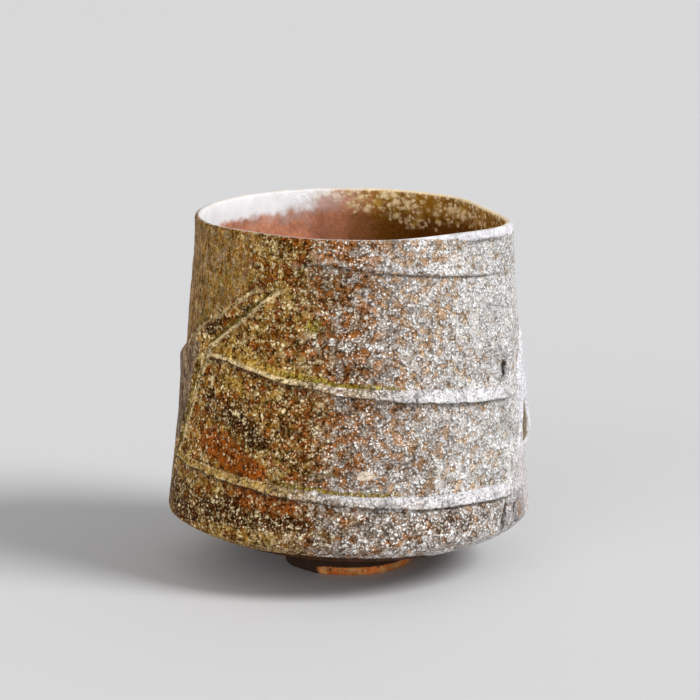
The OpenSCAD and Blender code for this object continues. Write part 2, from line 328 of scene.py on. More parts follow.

# What the fire and the maker left on the outside, with painted shade at the low left and beside the crest
WALL_SPOTS = {
    "flash": (
        (1.05, -140, 33.4, 13, 4.3, -0.17),
        (0.9, -126, 30.6, 8, 2.4, -0.14),
        (1.05, -120, 23.8, 14, 3.3, -0.08),
        (0.5, -154, 41.5, 3, 2.4),
        (0.35, -135, 43.5, 5, 1.5),
        (0.8, 150, 52, 36, 14),
        (0.7, 95, 30, 26, 8),
    ),
    "scorch_and_shade": (
        (0.9, -135, 41.5, 8, 4.0, -0.1),
        (0.85, -126, 37.6, 6, 3.0, -0.2),
        (0.55, -113, 33.4, 7, 2.2, -0.2),
        (0.7, -147, 43.5, 4, 4.0),
        (0.9, -147, 60.8, 6, 1.8, 0.5),
        (0.9, -116, 19.2, 16, 3.6),
        (0.75, -134, 20.5, 8, 2.6),
        (0.55, -50, 17.6, 20, 3.0),
        # Painted shade at the low left, in the scorch colour
        (0.5, -152, 17.0, 22, 5),
        (0.5, -53, 74, 6, 1.0),
        (0.7, -109, 78.4, 2.4, 1.2),
        (0.6, 170, 22, 40, 8),
    ),
    "ash": ((0.4, -117, 22.6, 10, 3.0),),
    "olive": ((0.7, -156, 62.5, 6, 1.6, 0.43), (0.5, -143, 73, 9, 4, 0.3), (1.6, -105, 63.8, 3.2, 1.7)),
    "slope": ((0.7, -146.5, 48.6, 1.6, 2.4),),
    "gold": ((0.8, -137, 49.2, 6, 2.0, -0.1),),
    "pebble": ((1.2, *PEBBLE_AT, 2.6, 1.1), (0.6, -78, 30.0, 6, 0.5), (0.48, *CLUSTER_AT, 2.8, 1.5)),
    "peach": (
        (1, -99, 78.7, 2, 1),
        (1, -105, 80.2, 2, 1),
        (1, -69, 79.9, 2, 1),
        (1, -62, 77.9, 2, 1),
        (1, -83, 79.2, 2, 1),
        (1, -53, 78.2, 2, 1),
        (1, -112, 77.4, 2, 1),
    ),
    "pit": ((1.8, PIT_AT[0], PIT_AT[1] + 0.9, 1.3, 0.8), (1.8, PIT_AT[0] - 0.6, PIT_AT[1] - 0.9, 1.1, 1.1)),
}
PALE_SPOTS = ((-0.38, -52, 17.0, 28, 4.6), (0.3, -93, 26.0, 22, 2.2))
# Where the painted shade to the right of the crest shows
CREST_SHADE_SPOT = (0.5, -141, 61, 5, 3)
LAP_SPOTS = {
    "rust": ((0.9, -21, 16.4, 2.6, 2.4), (0.5, -10.5, 33, 2, 2)),
    # Painted shade in the lap's crevices
    "soot": ((0.7, -23.5, 13.8, 3.5, 0.8), (0.5, -19.5, 20.4, 1.4, 0.9)),
}

# Where the worn and the dull part of the lap stop: heights in mm, and an azimuth
WORN_TOP = (31, 3)
DULL_TOP = (22.5, 3)
DULL_RIGHT = (-14, 4)

# The start of the wall's high part and the stop of its low one, in mm, and what changes there
HIGH_PART = (55, 22)
LOW_PART = (24, 10)
PALER_LOW = 0.10
PALER_HIGH = 0.08
PALER_HIGH_AZ = -112
PALER_HIGH_SOFT = 20
FEWER_RUNS_LOW = 0.55
MORE_RUNS_HIGH = 0.10
MORE_ASH_LOW = 0.06

# Shares of the outside's glazes round the cup, and how far each changes low down
PALE = {-180: 0.05, -150: 0.02, -125: 0.03, -108: 0.14, -95: 0.30, -80: 0.52, -65: 0.67, -45: 0.84, -25: 1,
        20: 0.95, 60: 0.7, 100: 0.35, 140: 0.08}
PALE_LOW = {-180: 0.2, -125: 0.4, -100: 1, 0: 1, 120: 0.6}
COVER = {-180: 0.30, -160: 0.38, -150: 0.45, -120: 0.46, -95: 0.50, -70: 0.58, -40: 0.66, 10: 0.66, 60: 0.5,
         110: 0.36, 150: 0.36}
COVER_LOW = {-180: -0.6, -125: -0.4, -100: 0.6, -80: 1, 0: 1, 120: 0.5}
RUN = {-180: 0.25, -150: 0.30, -125: 0.42, -100: 0.62, -80: 0.60, -60: 0.45, -40: 0.32, -15: 0.2, 40: 0.35,
       90: 0.55, 140: 0.4}
LEFT_OF_FOLD = {-180: 1, -150: 0.9, -135: 0.6, -118: 0.1, -105: 0, 100: 0, 150: 1}

# Depth of the pale lip, which is partly a painted highlight along its edge, the line of painted shade under
# it, and height of the painted shade on the underside, in mm
LIP_BAND = {-180: 0.02, -80: 0.02, -66: 0.15, -54: 0.7, -40: 1.6, -24: 2.2, 10: 1.6, 60: 0.8, 120: 0.3}
LIP_BAND_EDGE = 0.5
LIP_SHADE = (0.8, 0.35, 0.3)
LIP_SHADE_SPAN = (-46, 8, -18, 5)
UNDER_SHADE_TOP = {-180: 9.5, -125: 10, -108: 11.4, -64: 11.4, -50: 8.7, 120: 8.7}
UNDER_SHADE_EDGE = 2.2

# The inside: shares round the cup, and how far down the bloom and the blotches reach, in mm
BLOOM = {-180: 1, 124: 1, 104: 0.5, 90: 0, 0: 0, -120: 1}
BLOOM_REACH = {-180: 8.5, 168: 8, 152: 5.2, 130: 4.8, 112: 5.0, 98: 3.4, 84: 1.5, 40: 1.2, 0: 1.5, -60: 1.5,
               -120: 3.5}
HAZE = {-180: 0, 150: 0.1, 128: 0.8, 100: 0.8, 86: 0, 0: 0}
ROSE = {-180: 1, 120: 1, 102: 0.8, 88: 0.5, 70: 0.1, 0: 0, -60: 0.05, -130: 0.9}
BLOTCH = {-180: 0, 136: 0, 120: 0.6, 104: 0.85, 88: 0.9, 60: 0.9, 30: 0.85, -20: 0.5, -90: 0.3}
BLOTCH_REACH = {-180: 1, 120: 1.2, 106: 2.2, 92: 4.5, 75: 7, 60: 8, 30: 6, -20: 5, -90: 5}
# Painted shade with darker scorch, low inside at the right: its share round the cup
BURNT_AND_SHADED = {118: 0, 100: 0.4, 84: 0.75, 64: 1, -30: 1, -90: 0}
BLOOM_EDGE = 3.4
HAZE_BELOW = 2.2
BLOTCH_EDGE = 3
BLOTCH_LEAST = -0.2
# How deep under the lip the painted shade inside starts, and over how much it grows
BURNT_AND_SHADED_START = (3.2, 4.6)
DEEP_START = (14, 40)
DEEP_ROSE = 0.35
# The lip's crown inside: pale glaze, partly a painted highlight along the edge
LIP_CROWN = (0.6, 0.5)

# The round mark inside, at the right: its middle's azimuth and depth under the lip, and its ring's
# share, radius and half width, in mm
RING_MARK_AT = (64, 7.4)
RING_MARK = (0.7, 1.4, 0.8)
INSIDE_R = 35

# Ragged edges of the masks: the grain in mm and the raggedness
WALL_ZONES = {
    "flash": (3.4, 1.5), "scorch_and_shade": (3.0, 1.7), "olive": (2.0, 1.5), "ochre": (4.0, 1.2), "slope": (1.6, 0.8),
    "rim_glaze_and_highlight": (1.2, 0.8), "dusty": (3.0, 0.7), "gold": (1.8, 1.1), "pebble": (1.2, 1.2), "peach": (1.2, 1.0),
    "under": (2.0, 1.6),
}

# Colours laid over the beads: zone, strength and colour
WALL_LAYERS = (
    ("rim_glaze_and_highlight", 0.85, "slope"),
    ("pebble", 0.8, "shell"),
    ("peach", 0.6, "peach"),
    # The underside near the foot gets painted shade, in the scorch colour
    ("under", 0.95, "scorch_and_shade"),
)

# How much of the beads shows over each zone
BEADS_KEPT = {"ochre": 0.35, "flash": 0.75, "dusty": 0.3, "gold": 0.42, "olive": 0.35}

# Finishes: bump in metres, gloss, and roughness between the beads and on them, or of the glaze and the rose
WALL_BUMP = 0.45 * MM
# The wall's gloss is low: its highlights are painted, as glints among the beads
WALL_GLOSS = 0.02
WALL_ROUGH = (0.45, 0.28)
FLASH_ROUGHER = 0.25
INNER_BUMP = 0.1 * MM
INNER_GLOSS = 0.06
INNER_ROUGH = (0.4, 0.6)
LAP_BUMP = 0.2 * MM
LAP_GLOSS = 0.1
LAP_ROUGH = (0.5, 0.3)
FLOOR_BUMP = 0.15 * MM
FLOOR_GLOSS = 0.5
FLOOR_ROUGH = (0.3, 0.42)
CLAY_BUMP = 0.12 * MM
CLAY_GLOSS = 0.04
CLAY_ROUGH = 0.82
FLOOR_BEAD = 2.6
INNER_SAND = 0.5
CLAY_SAND = 0.67

# Beads of ash: their cells for each bead's size, what Large adds to their number from 0 to 1, how far a
# bead reaches in its cell, and the faintest and the brightest
BIG_BEADS = (0.8, -0.35, -0.08, 0.5, 0.5, 1.3)
SMALL_BEADS = (1.6, 0.05, -0.05, 0.58, 0.2, 1.25)

# Noises: scale per mm, detail, roughness and a shift, with how far some are drawn out upwards
PATCHES = (0.16, 4.0, 0.7)
MOTTLE = (0.42, 2.5, 0.62, (7.0, 1.0, 4.0))
RICHNESS = (0.8, 2.0, 0.6, (1.0, 6.0, 2.0))
THIN_RUNS = (1.1, 3.0, 0.65)
THIN_RUNS_DRAWN = 0.28
STREAKS = (1.3, 3.0, 0.6)
STREAKS_DRAWN = 0.5
BROAD_CLOUDS = (0.14, 3.0, 0.6)
FINE_GRAIN = (2.2, 2.0, 0.6)
INNER_DRIPS = (0.45, 2.0, 0.5)
INNER_DRIPS_DRAWN = 0.7
INNER_CLOUDS = (0.22, 3.0, 0.6)
INNER_STRAW = (1.3, 1.0, 0.5, (2.0, 9.0, 4.0))
INNER_SWIRL = (0.7, 2.0, 0.6)
INNER_SWIRL_DRAWN = 1.2
INNER_SWIRL_REACH = 2.4
INNER_GOLD = (0.45, 2.0, 0.5, (3.0, 1.0, 8.0))
LIP_SPECKS = (1.3, 2.0, 0.5)
LAP_STAIN = (0.25, 2.0, 0.5)
LAP_STAIN_GRAIN = (1.0, 2.0, 0.5)
LAP_GRAIN = (1.2, 3.0, 0.6)
FLOOR_POOLS = (0.24, 3.0, 0.6)
FLAMES = (0.3, 3.0, 0.7)
PAPER_TOOTH = (0.9, 3.0, 0.5)

# The photograph's camera, fitted to the cup at its real size, and the stage
CAMERA_DISTANCE = 717 * MM
CAMERA_HEIGHT = 207.6 * MM
CAMERA_PITCH = 12.32
CAMERA_LENS = 159.8
SENSOR = 36.0
CLIP_NEAR = 0.05
CLIP_FAR = 50
FLOOR_HALF = 6.0
PAPER_DIP = 0.985
PAPER_ROUGH = 0.7

# Where the light comes from, and its width in degrees
KEY_WAY = (0.80, -0.32, 0.72)
KEY_SOFTNESS = 24
FILL_WAY = (-0.45, -0.88, 0.15)
FILL_SOFTNESS = 60


def length(name, description, default, low, high, precision=4):
    return bpy.props.FloatProperty(
        name=name, description=description, default=default, min=low, max=high, unit="LENGTH",
        precision=precision)


def swatch(name, description, default):
    return bpy.props.FloatVectorProperty(
        name=name, description=description, default=default, subtype="COLOR", size=3, min=0, max=1)


def level(name, description, default, high):
    return bpy.props.FloatProperty(name=name, description=description, default=default, min=0, max=high)


class CupSizes(bpy.types.PropertyGroup):
    """Sizes of the cup that a user would change."""

    cup_h: length("Height", "Height of the lip over the table", 83.6 * MM, 0.07, 0.1)
    rim_r: length("Lip radius", "Mean radius of the wall at the lip", 37.3 * MM, 0.03, 0.045)
    turn_r: length("Widest radius", "Mean radius where the wall turns in", 42.8 * MM, 0.035, 0.05)
    turn_h: length("Turn height", "Height of the widest place", 14.4 * MM, 0.012, 0.018)
    under_h: length("Foot height", "Height at which the underside meets the foot", 5.2 * MM, 0.004, 0.007)
    wall_t: length("Wall thickness", "Thickness of the wall low down", 4 * MM, 0.003, 0.006)
    lip_t: length("Lip thickness", "Thickness of the wall at the lip", 1.8 * MM, 0.001, 0.004)
    ridge_d: length("Ridge depth", "How far a ridge stands out of the wall", 1 * MM, 0, 0.002)
    ridge_band: length("Ridge slope", "Height of the slope above a ridge's edge", 3.4 * MM, 0.001, 0.005)
    lump_d: length("Hand unevenness", "Depth of the hand-made unevenness of the wall", 0.3 * MM, 0, 0.001, 5)


class GlazeLook(bpy.types.PropertyGroup):
    """Colours and grain of the ash glaze and the bare clay."""

    bead: bpy.props.FloatProperty(
        name="Bead size", description="Spacing of the beads of melted ash, in millimetres",
        default=1.05, min=0.3, max=4)
    # Umber also paints the shade, with darker scorch, low inside at the right
    umber: swatch("Umber", "Darkest thin glaze, also low inside at the right", (0.095, 0.024, 0.001))
    amber: swatch("Amber runs", "Runs of glaze at the left", (0.27, 0.068, 0.003))
    rust: swatch("Rust runs", "Runs of glaze in the middle", (0.29, 0.105, 0.024))
    tan: swatch("Tan runs", "Runs of glaze at the right", (0.46, 0.31, 0.19))
    chalk: swatch("Chalky runs", "Runs of glaze at the far right", (0.60, 0.56, 0.51))
    moss: swatch("Olive crust", "Crust of ash at the left", (0.39, 0.172, 0.022))
    slate: swatch("Grey crust", "Crust of ash in the middle", (0.33, 0.27, 0.22))
    pearl: swatch("Pearl crust", "Crust of ash at the right", (0.64, 0.62, 0.61))
    # Scorch also colours the painted shade under the body and at the low left
    scorch_and_shade: swatch("Scorch", "Dark glaze near the embers", (0.058, 0.015, 0.001))
    flash: swatch("Flashing", "Bare clay reddened by the flame", (0.33, 0.080, 0.006))
    olive: swatch("Olive pools", "Ash glaze pooled above a ridge", (0.21, 0.13, 0.012))
    lime: swatch("Lime glints", "Yellow-green glints in the olive pools", (0.42, 0.35, 0.05))
    honey: swatch("Honey glaze", "Golden glaze of the pools and the inside", (0.33, 0.14, 0.010))
    ochre: swatch("Thin ochre", "Thin, smooth glaze at the upper left", (0.39, 0.20, 0.035))
    # Cream and frosted beads also colour the painted glints
    cream: swatch("Cream beads", "Beads over the warm glaze, and the left of a ridge", (0.94, 0.755, 0.42))
    frost: swatch("Frosted beads", "Beads over the pale side", (0.97, 0.955, 0.94))
    # Ridge slope also colours the lip's band and crown, partly as a painted highlight
    slope: swatch("Ridge slope", "Pale glaze of a ridge, the lip and the lap", (0.76, 0.75, 0.79))
    straw: swatch("Straw", "Yellow of the golden pools, the crust and the inside", (0.60, 0.38, 0.075))
    dun: swatch("Dun", "Speckled grey of a ridge's middle and of the thin glaze", (0.34, 0.25, 0.165))
    shell: swatch("Shell", "The pebble, and the palest spots inside", (0.86, 0.74, 0.58))
    peach: swatch("Peach patches", "Bare patches under the lip", (0.52, 0.30, 0.18))
    # The soot colour is for dark specks and pits, and also for painted shade in the crevices, in the lap's
    # groove and on the foot under the body.
    soot: swatch("Soot", "Dark lines and pits", (0.034, 0.024, 0.018))
    sand: swatch("Sandy clay", "Palest bare clay of the foot", (1.0, 0.52, 0.19))
    clay: swatch("Bare clay", "Bare clay of the foot", (1.0, 0.28, 0.062))
    mauve: swatch("Mauve", "Mauve-grey glaze low on the lap, and the haze inside", (0.53, 0.47, 0.46))
    rose: swatch("Inner clay", "Bare rose clay inside", (0.62, 0.26, 0.15))
    bloom: swatch("Inner bloom", "White ash inside, under the lip", (0.97, 0.97, 0.99))
    bark: swatch("Bark", "Brown glaze inside, and the stains of the lap", (0.24, 0.10, 0.014))
    butter: swatch("Butter", "Cream blotches inside and on the floor", (1.0, 0.79, 0.45))


class StageLook(bpy.types.PropertyGroup):
    """The floor and the lamps."""

    floor: swatch("Floor", "Colour of the studio floor", (0.74, 0.74, 0.75))
    sky: level("Sky", "Strength of the even light all round", 0.40, 2)
    key: level("Key light", "Strength of the soft light from the upper right", 2.4, 10)
    fill: level("Fill light", "Strength of the soft light from the front left", 1.2, 10)


# Form


def ease(v):
    t = np.clip(v, 0, 1)
    return t * t * (3 - 2 * t)


def after(v, start, over):
    """0 up to a start, then eased to 1 over a stretch."""
    return ease((v - start) / over)


def until(v, stop, over):
    """1 at first, then eased over a stretch to 0 at the stop."""
    return ease((stop - v) / over)


def window(v, start, rise, stop, fall):
    """1 inside a span, eased at both ends."""
    return after(v, start, rise) * until(v, stop, fall)


def mix(a, b, t):
    return a + (b - a) * t


def bell(v):
    return np.exp(-v * v)


def stripe(d, row):
    """A soft stripe by the distance across it. Its row is its share, middle and half width."""
    share, middle, half = row
    return share * bell((d - middle) / half)


def soft_min(a, b, k):
    h = np.clip(0.5 + 0.5 * (b - a) / k, 0, 1)
    return mix(b, a, h) - k * h * (1 - h)


def turn_from(a, az):
    """Degrees from one azimuth to another, in -180 to 180."""
    return (a - az + 540) % 360 - 180


def beside(a, az, half, soft):
    """1 within half a width of an azimuth, eased at both sides."""
    return ease((half - np.abs(turn_from(a, az))) / soft)


def cosd(a):
    return np.cos(np.radians(a))


def sind(a):
    return np.sin(np.radians(a))


def round_cup(a, table):
    return np.interp(turn_from(a, 0), list(table), list(table.values()), period=360)


def by_height(h, table):
    return np.interp(h, list(table), list(table.values()))


def spot(a, z, share, az, height, half_a, half_h, lean=0.0):
    """One soft round patch. Its lean tilts it along the wall."""
    da = turn_from(a, az)
    return share * bell(da / half_a) * bell((z / MM - height - lean * da) / half_h)


def spots(a, z, rows):
    return sum(spot(a, z, *row) for row in rows)


class Noise:
    """Smooth value noise on a fixed lattice, in -1 to 1."""

    def __init__(self, seed, cells=32):
        self.cells = cells
        self.values = np.random.default_rng(seed).uniform(-1, 1, (cells, cells, cells))

    def at(self, x, y, z, size):
        total = 0
        corners = [(v / size) for v in (x, y, z)]
        low = [np.floor(c).astype(int) for c in corners]
        part = [ease(c - l) for c, l in zip(corners, low)]
        for i in (0, 1):
            for j in (0, 1):
                for k in (0, 1):
                    weight = (part[0] if i else 1 - part[0]) * (part[1] if j else 1 - part[1])
                    weight = weight * (part[2] if k else 1 - part[2])
                    n = self.cells
                    total = total + weight * self.values[
                        (low[0] + i) % n, (low[1] + j) % n, (low[2] + k) % n]
        return total


class CupForm:
    """The cup's surfaces as functions of azimuth, in degrees, and height, in metres."""

    def __init__(self, sizes):
        self.s = sizes
        self.hand = Noise(11)
        self.waver = Noise(12)
        self.floor_top = sizes.under_h + FLOOR_T
        self.per_degree = np.radians(sizes.turn_r)

    def wobble(self, a, bumps, layer):
        """Uneven steps round the cup, in -1 to 1. Each layer has its own."""
        return self.waver.at(cosd(a) * bumps, sind(a) * bumps, layer + 0 * a, 1.0)

    def profile_r(self, z):
        s = self.s
        high = np.clip((s.cup_h - z) / (s.cup_h - s.turn_h), 0, 1)
        upper = mix(s.rim_r, s.turn_r, high ** TAPER)
        low = np.clip((z - s.under_h) / (s.turn_h - s.under_h), 0, 1)
        lower = mix(FOOT_JOIN_R, s.turn_r, (1 - (1 - low) ** UNDER_IN) ** (1 / UNDER_OUT))
        return np.where(z >= s.turn_h, upper, lower)

    def smooth_r(self, a, z):
        s = self.s
        mean = self.profile_r(z)
        r = mean / np.hypot(cosd(a), sind(a) / DEPTH_SHARE)
        on = after(z, FACE_START_H, FACE_FULL_H - FACE_START_H)
        high = np.clip((z - s.turn_h) / (s.cup_h - s.turn_h), 0, 1)
        far = 2 * s.turn_r
        for az, cut in FACES:
            c = cosd(a - az)
            reach = mean - cut * mix(FACE_LOW_SHARE, 1, high)
            face = np.where(c > FACE_LEAST_COS, np.minimum(far, reach / np.maximum(c, FACE_LEAST_COS)), far)
            r = soft_min(r, mix(far, face, on), FACE_BLEND)
        return r

    def drift(self, z):
        return mix(-TURN_DRIFT, LIP_DRIFT, after(z, DRIFT_START_H, DRIFT_FULL_H - DRIFT_START_H))

    def rim_z(self, a):
        return self.s.cup_h - RIM_DROP * cosd(a - RIM_DROP_AZ) + RIM_WAVE * cosd(2 * (a - RIM_WAVE_AZ))

    def ridge_z(self, a, ridge):
        f = (SEAM_AZ - a) % 360
        up = np.minimum(1, f / ridge.front) ** CLIMB
        down = ((360 - f) / (360 - ridge.front)) ** BACK_CLIMB
        line = ridge.height + ridge.rise * np.where(f <= ridge.front, up, down)
        return line + RIDGE_WAVER * self.wobble(a, 9, ridge.height / MM)

    def ridge_depth(self, a, ridge):
        f = (SEAM_AZ - a) % 360
        end = ridge.front + RIDGE_FADE
        along = np.where(f <= end, np.minimum(f, end - f), np.minimum(f - RIDGE_BACK, 360 - f))
        uneven = 1 + RIDGE_UNEVEN * self.wobble(a, 5, ridge.height / MM + 7)
        start, rise, stop, fall = RIDGE_SEAM_SPAN
        near_seam = mix(RIDGE_AT_SEAM, 1, after(f, start, rise)) * mix(RIDGE_AT_SEAM, 1, until(f, stop, fall))
        return self.s.ridge_d * ridge.depth_share * ease(along / RIDGE_FADE) * uneven * near_seam

    def ridge_relief(self, a, z, ridge):
        s = z - self.ridge_z(a, ridge)
        d = self.ridge_depth(a, ridge)
        band = self.s.ridge_band * ridge.band_share
        slope = d * (1 - np.clip(s / band, 0, 1))
        edge = mix(d, -UNDERCUT_SHARE * d, ease(-s / RIDGE_EDGE))
        tail = -UNDERCUT_SHARE * d * np.clip(1 + (s + RIDGE_EDGE) / RIDGE_TAIL, 0, 1)
        return np.where(s >= 0, slope, np.where(s >= -RIDGE_EDGE, edge, tail))

    def faint_relief(self, a, z):
        """The faint ridge: a soft slope over a shallow hollow."""
        along = np.clip(turn_from(FAINT_START_AZ, a) / FAINT_TURN, 0, FAINT_LONGEST)
        s = (z - FAINT_H - FAINT_RISE * along) / MM
        form = np.where(s > 0, np.exp(-np.maximum(s, 0) / FAINT_TAIL), stripe(s, FAINT_HOLLOW))
        return FAINT_D * window(turn_from(a, 0), *FAINT_SPAN) * form

    def fold_line(self, a):
        share = np.clip(turn_from(a, FOLD_LOW_AZ) / (FOLD_HIGH_AZ - FOLD_LOW_AZ), 0, 1)
        return FOLD_H + FOLD_RISE * share

    def fold_fade(self, a):
        t = turn_from(a, FOLD_LOW_AZ)
        return window(t, -3 * FOLD_FADE, FOLD_FADE, 5 * FOLD_FADE, 2 * FOLD_FADE)

    def fold_relief(self, a, z):
        s = self.fold_line(a) - z
        rise = FOLD_D * self.fold_fade(a) * ease(s / FOLD_EDGE) * np.exp(-np.maximum(s, 0) / FOLD_TAIL)
        return np.where(s <= 0, 0, rise)

    def crest_distance(self, a, z):
        """Millimetres from the crest, square to it: above zero on its left."""
        up = (z - CREST_KNEE_H) / MM
        az = CREST_KNEE_AZ + np.where(up > 0, CREST_UPPER, CREST_LOWER) * up
        square = np.where(up > 0, CREST_UPPER_SQUARE, CREST_LOWER_SQUARE)
        return turn_from(az, a) * self.per_degree * square / MM

    def branch_distance(self, a, z):
        """Millimetres from the short branch that goes on down from the crest's knee."""
        az = CREST_KNEE_AZ + CREST_UPPER * (z - CREST_KNEE_H) / MM
        return turn_from(az, a) * self.per_degree * CREST_UPPER_SQUARE / MM

    def crest_fade(self, a, z):
        return window(z / MM, *CREST_SPAN) * beside(a, *CREST_SIDE)

    def branch_fade(self, a, z):
        return window(z / MM, *BRANCH_SPAN) * beside(a, *BRANCH_SIDE)

    def crest_relief(self, a, z):
        d = self.crest_distance(a, z)
        crest = sum(stripe(d, row) for row in CREST_FORM)
        branch = stripe(self.branch_distance(a, z), BRANCH_FORM)
        return MM * (crest * self.crest_fade(a, z) + branch * self.branch_fade(a, z))

    def hand_relief(self, a, z, r):
        x, y = r * cosd(a), r * sind(a)
        return self.s.lump_d * sum(
            share * self.hand.at(x + dx, y + dy, z, size) for share, size, dx, dy in HAND_LUMPS)

    def outer_r(self, a, z):
        r = self.smooth_r(a, z) + self.fold_relief(a, z) + self.crest_relief(a, z) + self.faint_relief(a, z)
        r = r + MM * spots(a, z, WALL_BUMPS) - CRACK_D * self.crack(a, z, CRACK_SPAN)
        for ridge in RIDGES:
            r = r + self.ridge_relief(a, z, ridge)
        return r

    def crack(self, a, z, span):
        """The crevice between the lap's foot and the wall."""
        h = z / MM
        return bell(turn_from(a, by_height(h, CRACK_LINE)) / CRACK_HALF) * window(h, *span)

    def crease(self, a, z):
        """The narrow hollow in the lap, wide at its foot and drawn out upwards."""
        up = z / MM - CREASE_AT[1]
        half = by_height(up, CREASE_HALF)
        return bell(turn_from(a, CREASE_AT[0]) / half) * window(up, *CREASE_SPAN)

    def lap_groove(self, a, z):
        """The short crevice between the lap's lump and the strip beside it."""
        az, height = GROOVE_AT
        slant = az - GROOVE_LEAN * (height - z / MM)
        return bell(turn_from(a, slant) / GROOVE_HALF) * window(z / MM, *GROOVE_SPAN)

    def lap_thick(self, a, z):
        """Thickness of the lap over the wall: below zero where the wall covers it."""
        h = z / MM
        from_left = turn_from(a, by_height(h, LAP_LEFT)) * self.per_degree
        from_right = turn_from(by_height(h, LAP_RIGHT), a) * self.per_degree
        left_soft = mix(LAP_LEFT_SOFT, LAP_LOW_SOFT, until(h, *LAP_LOW))
        edge = ease(from_left / left_soft) * ease(from_right / LAP_RIGHT_SOFT)
        edge = edge * window(z, LAP_FOOT_H, LAP_FOOT_SOFT, LAP_TOP_H, LAP_TOP_SOFT)
        lump_a = turn_from(a, LAP_LUMP_AT[0]) / LAP_LUMP_HALF[0]
        lump_z = (h - LAP_LUMP_AT[1]) / LAP_LUMP_HALF[1]
        lump = LAP_LUMP_D * np.sqrt(np.clip(1 - lump_a ** 2 - lump_z ** 2, 0, 1))
        thick = MM * (by_height(h, LAP_BASE) + spot(a, z, *LAP_BULGE)) + lump
        lip = stripe(from_left, LAP_LIP) * after(h, *LAP_LIP_START)
        hollows = CREASE_D * self.crease(a, z) + GROOVE_D * self.lap_groove(a, z)
        return edge * (thick + lip - hollows) - LAP_SINK

    def inside_r(self, a, z):
        s = self.s
        low = self.floor_top + INNER_TURN_H
        share = np.clip((z - self.floor_top) / INNER_TURN_H, 0, 1)
        thick = mix(s.wall_t, s.lip_t, ease((z - low) / (s.cup_h - low)))
        high = self.smooth_r(a, np.maximum(z, low)) - thick
        return mix(FLOOR_R, high, (1 - (1 - share) ** INNER_CURVE) ** (1 / INNER_CURVE))

    def point(self, a, r, z):
        return np.stack([r * cosd(a) + self.drift(z), r * sind(a), z + 0 * a], -1)


# Masks


def gather(masks, **shares):
    """Adds shares to the masks of these names."""
    for name, share in shares.items():
        masks[name] = masks.get(name, 0) + share


def slope_band(s, top):
    """The stretch from a ridge's edge to the top, by the distance over the edge."""
    return after(s, *SLOPE_START) * until(s, top, SLOPE_END)


def ridge_masks(form, a, z, masks):
    """The pale slope of each ridge, its golden and olive glaze and the painted shade under its edge."""
    for ridge in RIDGES:
        s = (z - form.ridge_z(a, ridge)) / MM
        on = form.ridge_depth(a, ridge) / (form.s.ridge_d * ridge.depth_share)
        band = form.s.ridge_band * ridge.band_share / MM
        top = band * round_cup(a, ridge.pale)
        pale_band = slope_band(s, top)
        gold_band = slope_band(s, top if ridge.gold_in_pale else GOLD_REACH * band)
        pooled = window(turn_from(a, 0), ridge.pool_az, POOL_RISE, *POOL_STOP)
        # line is painted shade: a dark stripe just under the ridge's edge, where the undercut is
        line = bell((s + round_cup(a, RIDGE_SHADE_DOWN)) / round_cup(a, RIDGE_SHADE_HALF))
        shown = ridge.weight * on
        gather(
            masks,
            slope=shown * pale_band,
            gold=shown * round_cup(a, ridge.gold) * gold_band * (1 - ridge.gold_hidden * pale_band),
            olive=shown * pooled * stripe(s - top, OLIVE_POOL),
            crevice=round_cup(a, ridge.soot) * mix(RIDGE_SHADE_LEAST, 1, ridge.weight) * ease(on * 2) * line)


def fold_masks(form, a, z, masks):
    """Olive troughs, pale edges and painted shade along the crest, its branch and the fold. The pale stripe
    on the crest itself is a painted highlight.
    """
    d = form.crest_distance(a, z)
    near = form.crest_fade(a, z)
    lower = until(z / MM, *CREST_LOW)
    for name, row in CREST_STRIPES.items():
        gather(masks, **{name: near * stripe(d, row)})
    for name, row in CREST_LOW_STRIPES.items():
        gather(masks, **{name: near * lower * stripe(d, row)})
    below = (form.fold_line(a) - z) / MM
    on = form.fold_fade(a) * window(turn_from(a, 0), *FOLD_LINE_SPAN)
    branch = form.branch_fade(a, z) * stripe(form.branch_distance(a, z), BRANCH_STRIPE)
    crest_soot = near * stripe(d, CREST_SHADE_STRIPE) * spot(a, z, *CREST_SHADE_SPOT)
    gather(masks, slope=branch + on * stripe(below, FOLD_STRIPE))
    gather(masks, crevice=on * stripe(below, FOLD_SHADE) + crest_soot)
    masks["dusty"] = after(d, *DUSTY_FROM_CREST) * after(below, *DUSTY_FROM_FOLD) * after(z / MM, *DUSTY_FOOT)
    masks["dusty"] *= beside(a, *DUSTY_SIDE)
    masks["ochre"] = until(below, *OCHRE_EDGE) * round_cup(a, LEFT_OF_FOLD)


